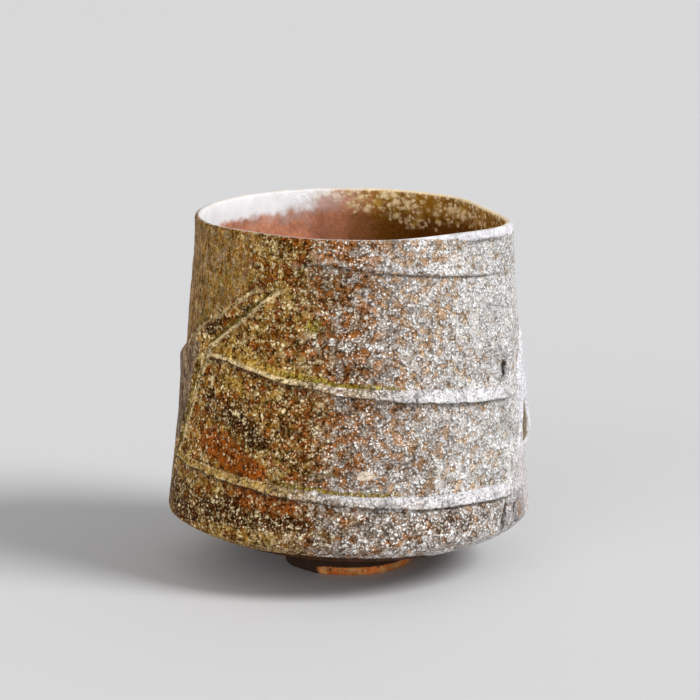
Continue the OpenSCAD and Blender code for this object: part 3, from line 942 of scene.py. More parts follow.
def outer_masks(form, a, z):
    """Where the fire left what on the outside, and where shade and highlights are painted. Each mask is from
    0 to 1.
    """
    high = after(z / MM, *HIGH_PART)
    low = until(z / MM, *LOW_PART)
    masks = {name: spots(a, z, rows) for name, rows in WALL_SPOTS.items()}
    pale = round_cup(a, PALE) + spots(a, z, PALE_SPOTS)
    greyer = PALER_LOW * low * round_cup(a, PALE_LOW)
    right_of = ease(turn_from(a, PALER_HIGH_AZ) / PALER_HIGH_SOFT)
    masks["pale"] = pale + greyer * (1 - pale) + PALER_HIGH * high * right_of
    masks["run"] = round_cup(a, RUN) * (1 - FEWER_RUNS_LOW * low) + MORE_RUNS_HIGH * high
    gather(masks, ash=round_cup(a, COVER) + MORE_ASH_LOW * low * round_cup(a, COVER_LOW))
    ridge_masks(form, a, z, masks)
    fold_masks(form, a, z, masks)
    rim_d = (form.rim_z(a) - z) / MM
    band = round_cup(a, LIP_BAND)
    # The line of painted shade under the pale lip band, and the band itself, which is pale glaze and partly a
    # painted highlight
    lip_soot = stripe(rim_d - band, LIP_SHADE) * window(turn_from(a, 0), *LIP_SHADE_SPAN)
    # Painted shade in the crack beside the lap joins the crevice mask
    gather(masks, crevice=lip_soot + CRACK_SHADE * form.crack(a, z, CRACK_SHADE_SPAN))
    masks["rim_glaze_and_highlight"] = ease((band - rim_d) / LIP_BAND_EDGE + 0.5)
    # The underside near the foot: painted shade
    masks["under"] = until(z / MM, round_cup(a, UNDER_SHADE_TOP), UNDER_SHADE_EDGE)
    return masks


def inner_masks(form, a, z):
    """The inside: white ash under the lip at the left, rose clay below it, blotches at the right, painted
    shade with darker scorch low down at the right, and a pale crown on the lip that is partly a painted
    highlight.
    """
    depth = (form.rim_z(a) - z) / MM
    under_bloom = (round_cup(a, BLOOM_REACH) - depth) / BLOOM_EDGE + 0.5
    blotched = mix(BLOTCH_LEAST, 1, ease((round_cup(a, BLOTCH_REACH) - depth) / BLOTCH_EDGE + 0.5))
    mark_az, mark_depth = RING_MARK_AT
    from_mark = np.hypot(np.radians(turn_from(a, mark_az)) * INSIDE_R, depth - mark_depth)
    return {
        "bloom": ease(under_bloom) * round_cup(a, BLOOM),
        "haze": ease(under_bloom + HAZE_BELOW / BLOOM_EDGE) * round_cup(a, HAZE),
        "rose": mix(round_cup(a, ROSE), DEEP_ROSE, after(depth, *DEEP_START)),
        "blotch": round_cup(a, BLOTCH) * blotched + stripe(from_mark, RING_MARK),
        "burnt_and_shaded": after(depth, *BURNT_AND_SHADED_START) * round_cup(a, BURNT_AND_SHADED),
        "lip": until(depth, *LIP_CROWN),
    }


def lap_masks(form, a, z):
    """Stains and wear of the lap, and painted shade in its groove and its crevices."""
    masks = {name: spots(a, z, rows) for name, rows in LAP_SPOTS.items()}
    gather(masks, crease=form.crease(a, z), soot=form.lap_groove(a, z))
    masks["worn"] = until(z / MM, *WORN_TOP)
    masks["dull"] = until(z / MM, *DULL_TOP) * until(a, *DULL_RIGHT)
    return masks


# Meshes


def spread(knots, counts):
    """Heights between the knots, evenly spaced within each stretch, without the last knot."""
    parts = []
    for low, high, count in zip(knots[:-1], knots[1:], counts):
        share = (np.arange(count) / count)[:, None]
        parts.append(mix(low[None, :], high[None, :], share))
    return np.concatenate(parts, 0)


def grid_object(name, points, closed_rows, uvs, masks):
    """A mesh from points[row, column], wrapped round the columns, with a packed UV map and masks.
    Where the rows aren't closed, the first and the last row are capped."""
    rows, columns = points.shape[:2]
    last = rows if closed_rows else rows - 1
    j, i = np.meshgrid(np.arange(last), np.arange(columns), indexing="ij")
    j2, i2 = (j + 1) % rows, (i + 1) % columns
    quads = np.stack([j * columns + i, j * columns + i2, j2 * columns + i2, j2 * columns + i], -1)
    faces = quads.reshape(-1, 4).tolist()
    cap_corners = 0
    if not closed_rows:
        faces += [list(range(columns))[::-1], list(range((rows - 1) * columns, rows * columns))]
        cap_corners = 2 * columns
    corner_rows = np.stack([j, j, j + 1, j + 1], -1)
    corner_columns = np.stack([i, i + 1, i + 1, i], -1)
    mesh = bpy.data.meshes.new(name)
    mesh.from_pydata(points.reshape(-1, 3).tolist(), [], faces)
    mesh.polygons.foreach_set("use_smooth", np.ones(len(mesh.polygons), bool))
    layer = mesh.uv_layers.new(name="OFBake")
    flat = uvs(corner_rows, corner_columns).reshape(-1)
    flat = np.concatenate([flat, np.zeros(2 * cap_corners)])
    layer.data.foreach_set("uv", flat.astype(np.float32))
    for mask, values in masks.items():
        attribute = mesh.attributes.new(mask, "FLOAT", "POINT")
        attribute.data.foreach_set("value", np.clip(values, 0, 1).reshape(-1).astype(np.float32))
    mesh.update()
    piece = bpy.data.objects.new(name, mesh)
    bpy.context.scene.collection.objects.link(piece)
    return piece


def stand_for(piece, node, material):
    """The piece takes the node's place, rides with the cup and gets its finish."""
    piece.data.materials.append(material)
    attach(piece, "root")
    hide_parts(node)


def strip_uvs(rows, columns):
    """One strip of the whole picture: u runs along the columns and v along the rows."""

    def uvs(row, column):
        return mix(UV_EDGE, 1 - UV_EDGE, np.stack([column / columns, row / rows], -1))

    return uvs


def under_rows(form, a):
    """Rows of the wall's outside from its foot to its widest place, and their heights."""
    s = form.s
    share = np.linspace(0, 1, UNDER_ROWS) ** UNDER_CROWDING
    z = mix(s.under_h, s.turn_h, share)[:, None] + 0 * a
    lift = UNDER_LIFT * np.maximum(0, cosd(a - UNDER_LIFT_AZ)) ** 2 * sind(180 * share)[:, None]
    r = form.smooth_r(a, z) + form.hand_relief(a, z, s.turn_r) * ease(share * 6)[:, None]
    r[0] = FOOT_JOIN_R
    return form.point(a, r, z) + lift[..., None] * (0, 0, 1), z


def outer_rows(form, a, lip):
    """Rows from the widest place to the lip, their heights and the last row's radius."""
    s = form.s
    knots = [s.turn_h + 0 * a]
    for ridge in RIDGES:
        edge = form.ridge_z(a, ridge)
        knots += [edge - RIDGE_EDGE, edge, edge + s.ridge_band * ridge.band_share]
    knots[-1] = np.minimum(knots[-1], lip - LIP_ROUND)
    knots.append(lip)
    z = spread(knots, OUTER_ROWS)[1:]
    a = a[None, :] + 0 * z
    r = form.outer_r(a, z)
    r = r + form.hand_relief(a, z, r)
    return form.point(a, r, z), z, r[-1]


def inner_rows(form, a, lip):
    """Rows from the lip down to the floor, and their heights."""
    low = form.floor_top
    high_rows = np.linspace(0, 1, INNER_HIGH_ROWS)[1:-1] * INNER_LOW_SHARE
    share = np.concatenate([high_rows, np.linspace(INNER_LOW_SHARE, 1, INNER_LOW_ROWS)])
    z = mix(lip, low + 0 * a, 1 - (1 - share[:, None]) ** INNER_CROWDING)
    a = a[None, :] + 0 * z
    r = form.inside_r(a, z)
    r = r - INNER_LUMP_SHARE * np.abs(form.hand_relief(a, z, r)) * ease((z - low) / INNER_SMOOTH_H)
    return form.point(a, r, z), z


def wall_rows(form, a):
    """Rows of the wall from its seat on the floor, out under the body, up, over the lip and back in."""
    s = form.s
    lip = form.rim_z(a) - LIP_ROUND
    under, under_z = under_rows(form, a)
    outer, outer_z, lip_out = outer_rows(form, a, lip)
    lip_in = form.inside_r(a, s.cup_h + 0 * a)
    turns = np.linspace(0, 180, LIP_ROWS)[:, None]
    lip_z = lip + LIP_ROUND * sind(turns)
    lip_points = form.point(a[None, :] + 0 * lip_z, mix(lip_out, lip_in, (1 - cosd(turns)) / 2), lip_z)
    inner, inner_z = inner_rows(form, a, lip)
    seat = form.point(a, FLOOR_R + 0 * a, s.under_h + 0 * a)[None]
    points = np.concatenate([seat, under, outer, lip_points, inner])
    all_z = np.concatenate([seat[..., 2], under_z, outer_z, lip_z, inner_z])
    outer_count = 1 + len(under_z) + len(outer_z) + LIP_ROWS // 2
    return points, all_z, outer_count


def build_wall(sizes, outer_glaze, inner_glaze):
    form = CupForm(sizes)
    a = np.arange(WALL_COLUMNS) * 360 / WALL_COLUMNS
    points, z, outer_count = wall_rows(form, a)
    columns = a[None, :] + 0 * z
    masks = {**outer_masks(form, columns, z), **inner_masks(form, columns, z)}
    rows = len(z)

    def uvs(row, column):
        u = mix(UV_EDGE, 1 - UV_EDGE, column / WALL_COLUMNS)
        outer_v = mix(UV_EDGE, OUTER_V_TOP, np.minimum(row, outer_count) / outer_count)
        inner_v = mix(*INNER_V, (row - outer_count) / (rows - outer_count))
        return np.stack([u, np.where(row[..., :1] >= outer_count, inner_v, outer_v)], -1)

    piece = grid_object("cup_wall", points, True, uvs, masks)
    stand_for(piece, "wall", outer_glaze)
    piece.data.materials.append(inner_glaze)
    face_rows = np.repeat(np.arange(rows), WALL_COLUMNS)
    piece.data.polygons.foreach_set("material_index", (face_rows >= outer_count).astype(np.int32))


def build_lap(sizes, material):
    """The lap: a loop of columns over its face and back under it, for each row from foot to top."""
    form = CupForm(sizes)
    z = np.linspace(LAP_FOOT_H, LAP_TOP_H, LAP_ROWS)[:, None]
    left = by_height(z / MM, LAP_LEFT) - LAP_OVERHANG
    right = by_height(z / MM, LAP_RIGHT) + LAP_OVERHANG
    a = mix(left, right, np.linspace(0, 1, LAP_COLUMNS)[None, :])
    z = z + 0 * a
    wall = form.outer_r(a, z)
    wall = wall + form.hand_relief(a, z, wall)
    face = form.point(a, wall + form.lap_thick(a, z), z)
    back = form.point(a, wall - 2 * LAP_SINK, z)
    points = np.concatenate([face, back[:, ::-1]], 1)
    masks = lap_masks(form, np.concatenate([a, a[:, ::-1]], 1), np.concatenate([z, z], 1))
    piece = grid_object("cup_seam_lap", points, False, strip_uvs(LAP_ROWS, 2 * LAP_COLUMNS), masks)
    stand_for(piece, "seam_lap", material)


def spiral(r, a):
    """The groove that a finger or a tool leaves on a turning disc."""
    turn = r / SPIRAL_STEP - np.radians(a) / (2 * np.pi)
    return SPIRAL_D * np.cos(2 * np.pi * turn) * ease(r / SPIRAL_START_R)


def build_floor(sizes, material):
    """The floor: up from the middle of its underside, round its edge and back to the middle."""
    form = CupForm(sizes)
    a = np.arange(FLOOR_COLUMNS)[None, :] * 360 / FLOOR_COLUMNS
    edge = FLOOR_R - JOINT_GAP
    out = np.linspace(FLOOR_FIRST_ROW, 1, FLOOR_ROWS)[:, None]
    r = edge * out + 0 * a
    fade = until(out, 1, SPIRAL_FADE)
    under = sizes.under_h + JOINT_GAP + np.abs(spiral(r, -a)) * fade
    dish = FLOOR_DIP * (1 - out ** 2)
    over = form.floor_top - dish - np.abs(spiral(r, a)) * fade
    radii = np.concatenate([r, r[::-1]])
    heights = np.concatenate([under, over[::-1]])
    points = np.stack([radii * cosd(a), radii * sind(a), heights], -1)
    points[..., 0] += form.drift(form.floor_top)
    piece = grid_object("cup_floor", points, False, strip_uvs(2 * FLOOR_ROWS, FLOOR_COLUMNS), {})
    stand_for(piece, "floor", material)


def build_foot(sizes, material):
    """The foot ring: its outline as a closed loop of rows, worn uneven round the cup."""
    form = CupForm(sizes)
    a = np.arange(RING_COLUMNS)[None, :] * 360 / RING_COLUMNS
    wear = form.wobble(a, *WEAR)
    edge = FOOT_EDGE * (1 + WEAR_EDGE * wear + CHIP_EDGE * ease(form.wobble(a, *CHIPS) * 2))
    top = sizes.under_h - JOINT_GAP
    base_r = FOOT_R + FOOT_WOBBLE * wear
    inner_edge = FOOT_BORE_R + FOOT_BORE_EDGE
    rows = []
    for share in FOOT_SIDE_ROWS:
        side_r = FOOT_R + share ** FOOT_FLARE * (FOOT_JOIN_R - FOOT_R)
        rows.append((side_r + FOOT_WOBBLE * wear * (1 - share), share * top + 0 * a))
    for turn in FOOT_EDGE_TURNS:
        rows.append((base_r - edge * (1 - cosd(turn)), edge * (1 - sind(turn))))
    for share in FOOT_BASE_ROWS:
        rows.append((mix(base_r - edge, inner_edge, share), 0 * a))
    for turn in FOOT_BORE_TURNS:
        rows.append((inner_edge - FOOT_BORE_EDGE * cosd(turn), FOOT_BORE_EDGE * (1 - sind(turn)) + 0 * a))
    rows.append((FOOT_BORE_R + 0 * a, top + 0 * a))
    r = np.concatenate([row[0] + 0 * a for row in rows])
    z = np.concatenate([row[1] for row in rows])
    points = np.stack([r * cosd(a), r * sind(a), z], -1)
    points[..., 0] += form.drift(0)
    # Painted shadow on the foot: above its lower edge, under the body, and over its left side
    left_side = until(turn_from(a, 0), *FOOT_SHADOW_STOP)
    masks = {
        "soot": after(z, FOOT_SHADOW_H, FOOT_SHADOW_RISE) + FOOT_SHADOW_LEFT * left_side,
        "ash": ease(form.wobble(a + 0 * z, *FOOT_ASH) * 2),
    }
    piece = grid_object("cup_foot_ring", points, True, strip_uvs(len(rows), RING_COLUMNS), masks)
    stand_for(piece, "foot_ring", material)


# Materials


class Nodes:
    """Adds nodes to a tree in one line each: inputs are numbers, colours or other sockets.
    Patterns are read at place, in millimetres, unless a call says where."""

    def __init__(self, tree, place=None):
        self.tree = tree
        self.place = place

    def feed(self, socket, value):
        if isinstance(value, bpy.types.NodeSocket):
            self.tree.links.new(value, socket)
        elif socket.type == "RGBA":
            socket.default_value = (*value[:3], 1)
        else:
            socket.default_value = value

    def add(self, kind, inputs=None, **settings):
        node = self.tree.nodes.new(kind)
        for key, value in settings.items():
            setattr(node, key, value)
        for key, value in (inputs or {}).items():
            self.feed(node.inputs[key], value)
        return node

    def math(self, operation, a, b, clamp=False):
        return self.add("ShaderNodeMath", {0: a, 1: b}, operation=operation, use_clamp=clamp).outputs[0]

    def plus(self, a, b, clamp=False):
        return self.math("ADD", a, b, clamp)

    def less(self, a, b, clamp=False):
        return self.math("SUBTRACT", a, b, clamp)

    def times(self, a, b, clamp=False):
        return self.math("MULTIPLY", a, b, clamp)

    def most(self, a, b):
        return self.math("MAXIMUM", a, b)

    def vector_math(self, operation, a, b):
        return self.add("ShaderNodeVectorMath", {0: a, 1: b}, operation=operation).outputs[0]

    def scaled(self, vector, factor):
        inputs = {0: vector, "Scale": factor}
        return self.add("ShaderNodeVectorMath", inputs, operation="SCALE").outputs[0]

    def drawn(self, share):
        """The place with its height times a share, which draws patterns out upwards."""
        return self.vector_math("MULTIPLY", self.place, (1.0, 1.0, share))

    def stirred(self, place, noise, reach):
        """The place, pushed about by a noise."""
        push = self.vector_math("SUBTRACT", noise.node.outputs["Color"], (0.5, 0.5, 0.5))
        return self.vector_math("ADD", place, self.scaled(push, reach))

    def between(self, value, low, high):
        """0 at low and 1 at high, eased."""
        inputs = {"Value": value, "From Min": low, "From Max": high}
        return self.add("ShaderNodeMapRange", inputs, interpolation_type="SMOOTHSTEP").outputs[0]

    def remap(self, value, low, high, to_low, to_high):
        inputs = {"Value": value, "From Min": low, "From Max": high, "To Min": to_low, "To Max": to_high}
        return self.add("ShaderNodeMapRange", inputs).outputs[0]

    def vary(self, noise, low, high):
        """Stretches the usual range of a noise to these values."""
        return self.remap(noise, 0.35, 0.65, low, high)

    def kept(self, value, least):
        """1 where the value is 0, and the least share where it is 1."""
        return self.remap(value, 0.0, 1.0, 1.0, least)

    def mix(self, share, a, b, blend="MIX"):
        inputs = {0: share, 6: a, 7: b}
        settings = {"data_type": "RGBA", "blend_type": blend, "clamp_factor": True}
        return self.add("ShaderNodeMix", inputs, **settings).outputs[2]

    def lay(self, skin, share, strength, colour):
        """The skin with a colour laid over it, as strongly as strength where the share is 1."""
        return self.mix(self.times(share, strength), skin, colour)

    def tint(self, colour, value):
        """The colour times a number that changes over the surface."""
        grey = self.add("ShaderNodeCombineColor", {0: value, 1: value, 2: value}).outputs[0]
        return self.mix(1.0, colour, grey, "MULTIPLY")

    def noise(self, scale, detail=2.0, roughness=0.5, shift=None, at=None):
        at = self.place if at is None else at
        if shift is not None:
            at = self.vector_math("ADD", at, shift)
        inputs = {"Vector": at, "Scale": scale, "Detail": detail, "Roughness": roughness}
        return self.add("ShaderNodeTexNoise", inputs).outputs["Fac"]

    def cells(self, scale, at=None):
        """The distance to the middle of a random cell, and three random numbers of that cell."""
        at = self.place if at is None else at
        cell = self.add("ShaderNodeTexVoronoi", {"Vector": at, "Scale": scale}).outputs
        return cell["Distance"], self.add("ShaderNodeSeparateColor", {"Color": cell["Color"]}).outputs

    def mask(self, name):
        return self.add("ShaderNodeAttribute", attribute_name=name, attribute_type="GEOMETRY").outputs["Fac"]

    def group(self, name, **inputs):
        tree = bpy.data.node_groups.get(name) or GROUPS[name](name)
        return self.add("ShaderNodeGroup", {"Vector": self.place, **inputs}, node_tree=tree).outputs

    def zone(self, name, size, raggedness):
        """A mask with a ragged edge, whose grain has the given size in millimetres."""
        return self.group("Ragged edge", Mask=self.mask(name), Size=size, Raggedness=raggedness)["Mask"]

    def close(self, **results):
        """Gives a group its outputs, and returns its tree."""
        for name in results:
            self.tree.interface.new_socket(name=name, in_out="OUTPUT", socket_type="NodeSocketFloat")
        end = self.tree.nodes.new("NodeGroupOutput")
        for name, socket in results.items():
            self.tree.links.new(socket, end.inputs[name])
        return self.tree


def new_group(name, *inputs):
    """A shader node group with a vector and some float sockets, its nodes and what it is given."""
    tree = bpy.data.node_groups.new(name, "ShaderNodeTree")
    tree.interface.new_socket(name="Vector", in_out="INPUT", socket_type="NodeSocketVector")
    for socket in inputs:
        tree.interface.new_socket(name=socket, in_out="INPUT", socket_type="NodeSocketFloat")
    given = tree.nodes.new("NodeGroupInput").outputs
    return Nodes(tree, given["Vector"]), given


def ash_beads_group(name):
    """Ash melted on the wall, in millimetres: a crust with beads and pits, and runs of glaze between. The
    Bead output also holds painted glints, small bright dots that stand for highlights, and its bright beads
    partly stand in for highlights too.
    """
    n, given = new_group(name, "Size", "Cover", "Run", "Large")
    scale = n.math("DIVIDE", 1.0, given["Size"])
    place = n.stirred(n.place, n.noise(n.times(scale, 0.8), 1.0), given["Size"])
    flow = n.noise(n.times(scale, 0.5), at=place)
    shore = n.remap(given["Run"], 0.0, 1.0, 0.38, 0.60)
    crust = n.between(flow, n.less(shore, 0.09), n.plus(shore, 0.07))
    heart = n.between(flow, n.plus(shore, 0.03), n.less(shore, 0.12))
    room = n.plus(given["Cover"], n.times(n.less(crust, 0.5), 0.4))

    def beads(fineness, few, many, reach, faint, bright):
        gap, pick = n.cells(n.times(scale, fineness), place)
        wanted = n.plus(room, n.remap(given["Large"], 0.0, 1.0, few, many))
        here = n.between(n.plus(pick[0], wanted), 0.92, 1.08)
        tone = n.remap(pick[1], 0.0, 1.0, faint, bright)
        return n.times(n.between(gap, reach, 0.2), n.times(here, tone)), gap

    big, _ = beads(*BIG_BEADS)
    small, gap = beads(*SMALL_BEADS)
    bead = n.most(big, small)
    patches = n.noise(n.times(scale, 0.7), shift=(4.0, 4.0, 9.0))
    fleck = n.times(n.between(gap, 0.46, 0.76), n.between(patches, 0.36, 0.56))
    # Glints: small bright dots, painted highlights
    tiny, pick = n.cells(n.times(scale, 3.0))
    glint = n.times(n.between(tiny, 0.5, 0.25), n.between(pick[0], 0.72, 0.8))
    glints = n.times(glint, n.remap(given["Cover"], 0.2, 0.7, 0.2, 0.9))
    raised = n.plus(n.times(bead, 0.6), n.times(crust, 0.5))
    height = n.less(raised, n.times(fleck, 0.4))
    return n.close(Bead=n.most(bead, glints), Crust=crust, Heart=heart, Fleck=fleck, Height=height)


def ragged_group(name):
    """Breaks a soft mask into the ragged edge that flame and ash leave."""
    n, given = new_group(name, "Mask", "Size", "Raggedness")
    grain = n.noise(n.math("DIVIDE", 1.0, given["Size"]), 5.0, 0.75)
    push = n.times(n.less(grain, 0.5), given["Raggedness"])
    return n.close(Mask=n.between(n.plus(given["Mask"], push), 0.25, 0.75))


def clay_grain_group(name):
    """Sandy clay, in millimetres: fine grain, pale grog and dark iron specks."""
    n, given = new_group(name, "Size")
    scale = n.math("DIVIDE", 1.0, given["Size"])
    fine = n.noise(scale, 4.0, 0.7)
    broad = n.noise(n.times(scale, 0.12))
    gap, pick = n.cells(n.times(scale, 0.55))
    near = n.between(gap, 0.42, 0.18)
    tone = n.plus(n.times(fine, 0.5), n.times(broad, 0.5))
    grog = n.times(near, n.between(pick[0], 0.8, 0.86))
    iron = n.times(near, n.between(pick[1], 0.86, 0.9))
    return n.close(Tone=tone, Grog=grog, Iron=iron, Height=fine)


GROUPS = {"Ash beads": ash_beads_group, "Ragged edge": ragged_group, "Clay grain": clay_grain_group}


def start_material(name):
    """A material and its nodes, which read patterns at the place on the piece in millimetres."""
    material = bpy.data.materials.new(name)
    material.use_nodes = True
    n = Nodes(material.node_tree)
    n.place = n.scaled(n.add("ShaderNodeTexCoord").outputs["Object"], 1 / MM)
    return material, n


def finish(n, skin, rough, height, depth, gloss):
    """Gives the shader a skin colour, a roughness, a gloss and a bump of the given depth in metres."""
    shader = n.tree.nodes["Principled BSDF"]
    bump = n.add("ShaderNodeBump", {"Height": height, "Strength": 1.0, "Distance": depth}).outputs[0]
    settings = {"Base Color": skin, "Roughness": rough, "Specular IOR Level": gloss, "Normal": bump}
    for name, value in settings.items():
        n.feed(shader.inputs[name], value)


def glaze_ground(n, look, zone, pale, patchy, beads):
    """Runs and crust of glaze, from the amber side to the pale one, and what the fire laid over them."""
    runs = n.mix(n.between(pale, 0.0, 0.3), look.amber, look.rust)
    runs = n.mix(n.between(pale, 0.3, 0.8), runs, look.tan)
    runs = n.mix(n.between(pale, 0.85, 1.03), runs, look.chalk)
    runs = n.tint(runs, n.vary(n.noise(*RICHNESS), n.remap(pale, 0.0, 0.5, 0.45, 0.7), 1.35))
    shade = n.remap(pale, 0.05, 0.4, 0.34, 0.7)
    shade = n.plus(shade, n.times(beads["Heart"], n.less(1.0, shade)))
    warm_crust = n.lay(look.moss, n.between(patchy, 0.46, 0.6), 0.6, look.straw)
    crust = n.mix(n.between(pale, 0.07, 0.4), warm_crust, look.slate)
    crust = n.mix(n.between(pale, 0.4, 1.0), crust, look.pearl)
    ground = n.lay(n.tint(runs, shade), beads["Crust"], 0.85, crust)

    drawn = n.noise(*THIN_RUNS, at=n.drawn(THIN_RUNS_DRAWN))
    wash = n.mix(n.between(drawn, 0.36, 0.50), look.umber, look.ochre)
    wash = n.lay(wash, n.between(drawn, 0.47, 0.64), 0.8, look.dun)
    ground = n.lay(ground, zone["ochre"], 0.85, wash)
    ground = n.mix(zone["dusty"], ground, n.mix(n.between(drawn, 0.34, 0.66), look.umber, look.dun))
    # Scorch: the fire's dark glaze, with painted shade at the low left
    ground = n.lay(ground, zone["scorch_and_shade"], 0.9, look.scorch_and_shade)
    ground = n.mix(zone["flash"], ground, look.flash)

    slope = n.mix(n.between(n.mask("pale"), 0.05, 0.2), look.cream, look.dun)
    slope = n.mix(n.between(n.mask("pale"), 0.38, 0.75), slope, look.slope)
    ground = n.lay(ground, zone["slope"], 0.7, slope)
    streak = n.noise(*STREAKS, at=n.drawn(STREAKS_DRAWN))
    gold = n.mix(n.between(streak, 0.40, 0.60), look.honey, look.straw)
    ground = n.mix(zone["gold"], ground, gold)
    pool = n.mix(n.between(streak, 0.5, 0.62), look.olive, look.lime)
    return n.lay(ground, zone["olive"], 0.85, pool)


def ash_glaze(look):
    """The wall's glaze: beads of ash over ground colours that the fire's masks choose, with painted glints
    among the beads, painted shade in the crevices and under the body, and painted highlights on the crest
    and, in part, on the lip.
    """
    material, n = start_material("ash_glaze")
    zone = {name: n.zone(name, *edge) for name, edge in WALL_ZONES.items()}
    zone["dusty"] = n.times(zone["dusty"], 0.9)
    flash, slope, rim_glaze_and_highlight = zone["flash"], zone["slope"], zone["rim_glaze_and_highlight"]
    patchy = n.noise(*PATCHES)
    mottle = n.noise(*MOTTLE)
    wander = n.remap(n.mask("pale"), 0.0, 0.35, 0.07, 0.15)
    pale = n.plus(n.mask("pale"), n.times(n.remap(patchy, 0.3, 0.7, -1.0, 1.0), wander))
    pale = n.plus(pale, n.vary(mottle, -0.08, 0.08), clamp=True)

    cover = n.plus(n.less(n.mask("ash"), n.times(flash, 0.31)), n.vary(mottle, -0.12, 0.12))
    cover = n.plus(cover, n.times(slope, 0.2), clamp=True)
    run = n.less(n.mask("run"), n.times(slope, 0.6))
    run = n.less(run, n.times(flash, 0.3), clamp=True)
    large = n.between(pale, 0.45, 0.0)
    beads = n.group("Ash beads", Size=look.bead, Cover=cover, Run=run, Large=large)
    # The Bead output holds the beads and the painted glints
    bead = n.times(beads["Bead"], n.kept(slope, n.remap(n.mask("pale"), 0.1, 0.6, 0.85, 0.5)))
    for name, least in BEADS_KEPT.items():
        bead = n.times(bead, n.kept(zone[name], least))

    crown = n.mix(n.between(pale, 0.1, 0.5), look.cream, look.frost)
    skin = n.mix(bead, glaze_ground(n, look, zone, pale, patchy, beads), crown)
    smooth = n.times(n.most(zone["ochre"], zone["dusty"]), 0.5)
    skin = n.tint(skin, n.kept(beads["Fleck"], n.plus(n.remap(pale, 0.1, 1.0, 0.2, 0.6), smooth, clamp=True)))
    for name, strength, paint in WALL_LAYERS:
        skin = n.lay(skin, zone[name], strength, getattr(look, paint))
    broad = n.remap(n.noise(*BROAD_CLOUDS), 0.3, 0.7, 0.8, 1.2)
    fine = n.vary(n.noise(*FINE_GRAIN), 0.76, 1.24)
    clouds = n.vary(mottle, n.remap(pale, 0.2, 0.9, 0.68, 0.9), n.remap(pale, 0.2, 0.9, 1.32, 1.1))
    skin = n.tint(skin, n.times(broad, n.times(fine, clouds)))
    # Painted shade in the crevices: under the ridges, beside the crest, along the fold, under the lip band
    # and in the crack
    skin = n.lay(skin, n.mask("crevice"), 0.85, look.soot)
    gap, pick = n.cells(1.0)
    pits = n.times(n.between(gap, 0.42, 0.2), n.between(pick[0], 0.45, 0.55))
    skin = n.lay(skin, n.times(pits, flash), 0.85, look.soot)
    skin = n.mix(n.mask("pit"), skin, look.soot)

    rough = n.plus(n.remap(bead, 0.0, 0.8, *WALL_ROUGH), n.times(flash, FLASH_ROUGHER))
    height = n.times(n.times(beads["Height"], n.kept(slope, 0.5)), n.kept(rim_glaze_and_highlight, 0.4))
    height = n.plus(height, n.times(fine, 0.15))
    finish(n, skin, rough, height, WALL_BUMP, WALL_GLOSS)
    return material


def inner_glaze(look):
    """The wall's inside: white bloom under the lip, bare rose clay, and brown glaze with blotches, painted
    shade with darker scorch low at the right, and a pale lip crown that is partly a painted highlight.
    """
    material, n = start_material("inner_glaze")
    rose = n.zone("rose", 6.0, 0.8)
    drip = n.times(n.less(n.noise(*INNER_DRIPS, at=n.drawn(INNER_DRIPS_DRAWN)), 0.5), 0.9)
    cloud = n.noise(*INNER_CLOUDS)
    small = n.noise(*INNER_STRAW)
    stirred = n.stirred(n.drawn(INNER_SWIRL_DRAWN), n.noise(*INNER_SWIRL), INNER_SWIRL_REACH)
    allowed = n.mask("blotch")

    def blotches(scale, shift, soft):
        gap, pick = n.cells(scale, stirred)
        here = n.between(n.plus(pick[0], n.plus(allowed, shift)), 0.9, 1.15)
        here = n.times(here, n.between(allowed, 0.03, 0.25))
        share = n.times(here, n.remap(pick[1], 0.0, 1.0, 0.75, 1.25))
        return n.times(n.between(gap, 0.64, soft), share, clamp=True)

    blotch = n.most(blotches(0.4, 0.05, 0.12), blotches(0.8, -0.1, 0.2))
    glazed = n.mix(n.between(cloud, 0.38, 0.62), look.bark, look.honey)
    glazed = n.lay(glazed, n.between(small, 0.45, 0.65), 0.4, look.straw)
    bare = n.tint(look.rose, n.remap(n.plus(cloud, n.times(small, 0.5)), 0.55, 0.95, 0.7, 1.25))
    skin = n.mix(rose, glazed, bare)
    skin = n.lay(skin, n.between(n.plus(n.mask("haze"), drip), 0.1, 0.8), 0.5, look.mauve)
    # Painted shade with darker scorch low inside at the right, where the blotches are fainter
    skin = n.lay(skin, n.mask("burnt_and_shaded"), 0.9, look.umber)
    golden = n.mix(n.between(n.noise(*INNER_GOLD), 0.34, 0.5), look.straw, look.butter)
    blotch_colour = n.mix(n.between(rose, 0.5, 1.0), golden, look.shell)
    skin = n.lay(skin, blotch, n.remap(n.mask("burnt_and_shaded"), 0.0, 1.0, 0.95, 0.6), blotch_colour)
    bloom = n.between(n.plus(n.mask("bloom"), drip), 0.2, 0.75)
    skin = n.mix(bloom, skin, n.mix(rose, look.butter, look.bloom))
    # The lip's crown: pale glaze, partly a painted highlight along the edge
    speck = n.between(n.noise(*LIP_SPECKS), 0.36, 0.6)
    lip_glaze_and_highlight = n.mix(speck, look.shell, n.mix(rose, look.butter, look.slope))
    skin = n.lay(skin, n.mask("lip"), 0.85, lip_glaze_and_highlight)
    sand = n.group("Clay grain", Size=INNER_SAND)
    skin = n.tint(skin, n.vary(sand["Tone"], 0.9, 1.1))
    height = n.plus(n.times(blotch, 0.7), n.times(sand["Height"], 0.3))
    finish(n, skin, n.remap(rose, 0.0, 1.0, *INNER_ROUGH), height, INNER_BUMP, INNER_GLOSS)
    return material


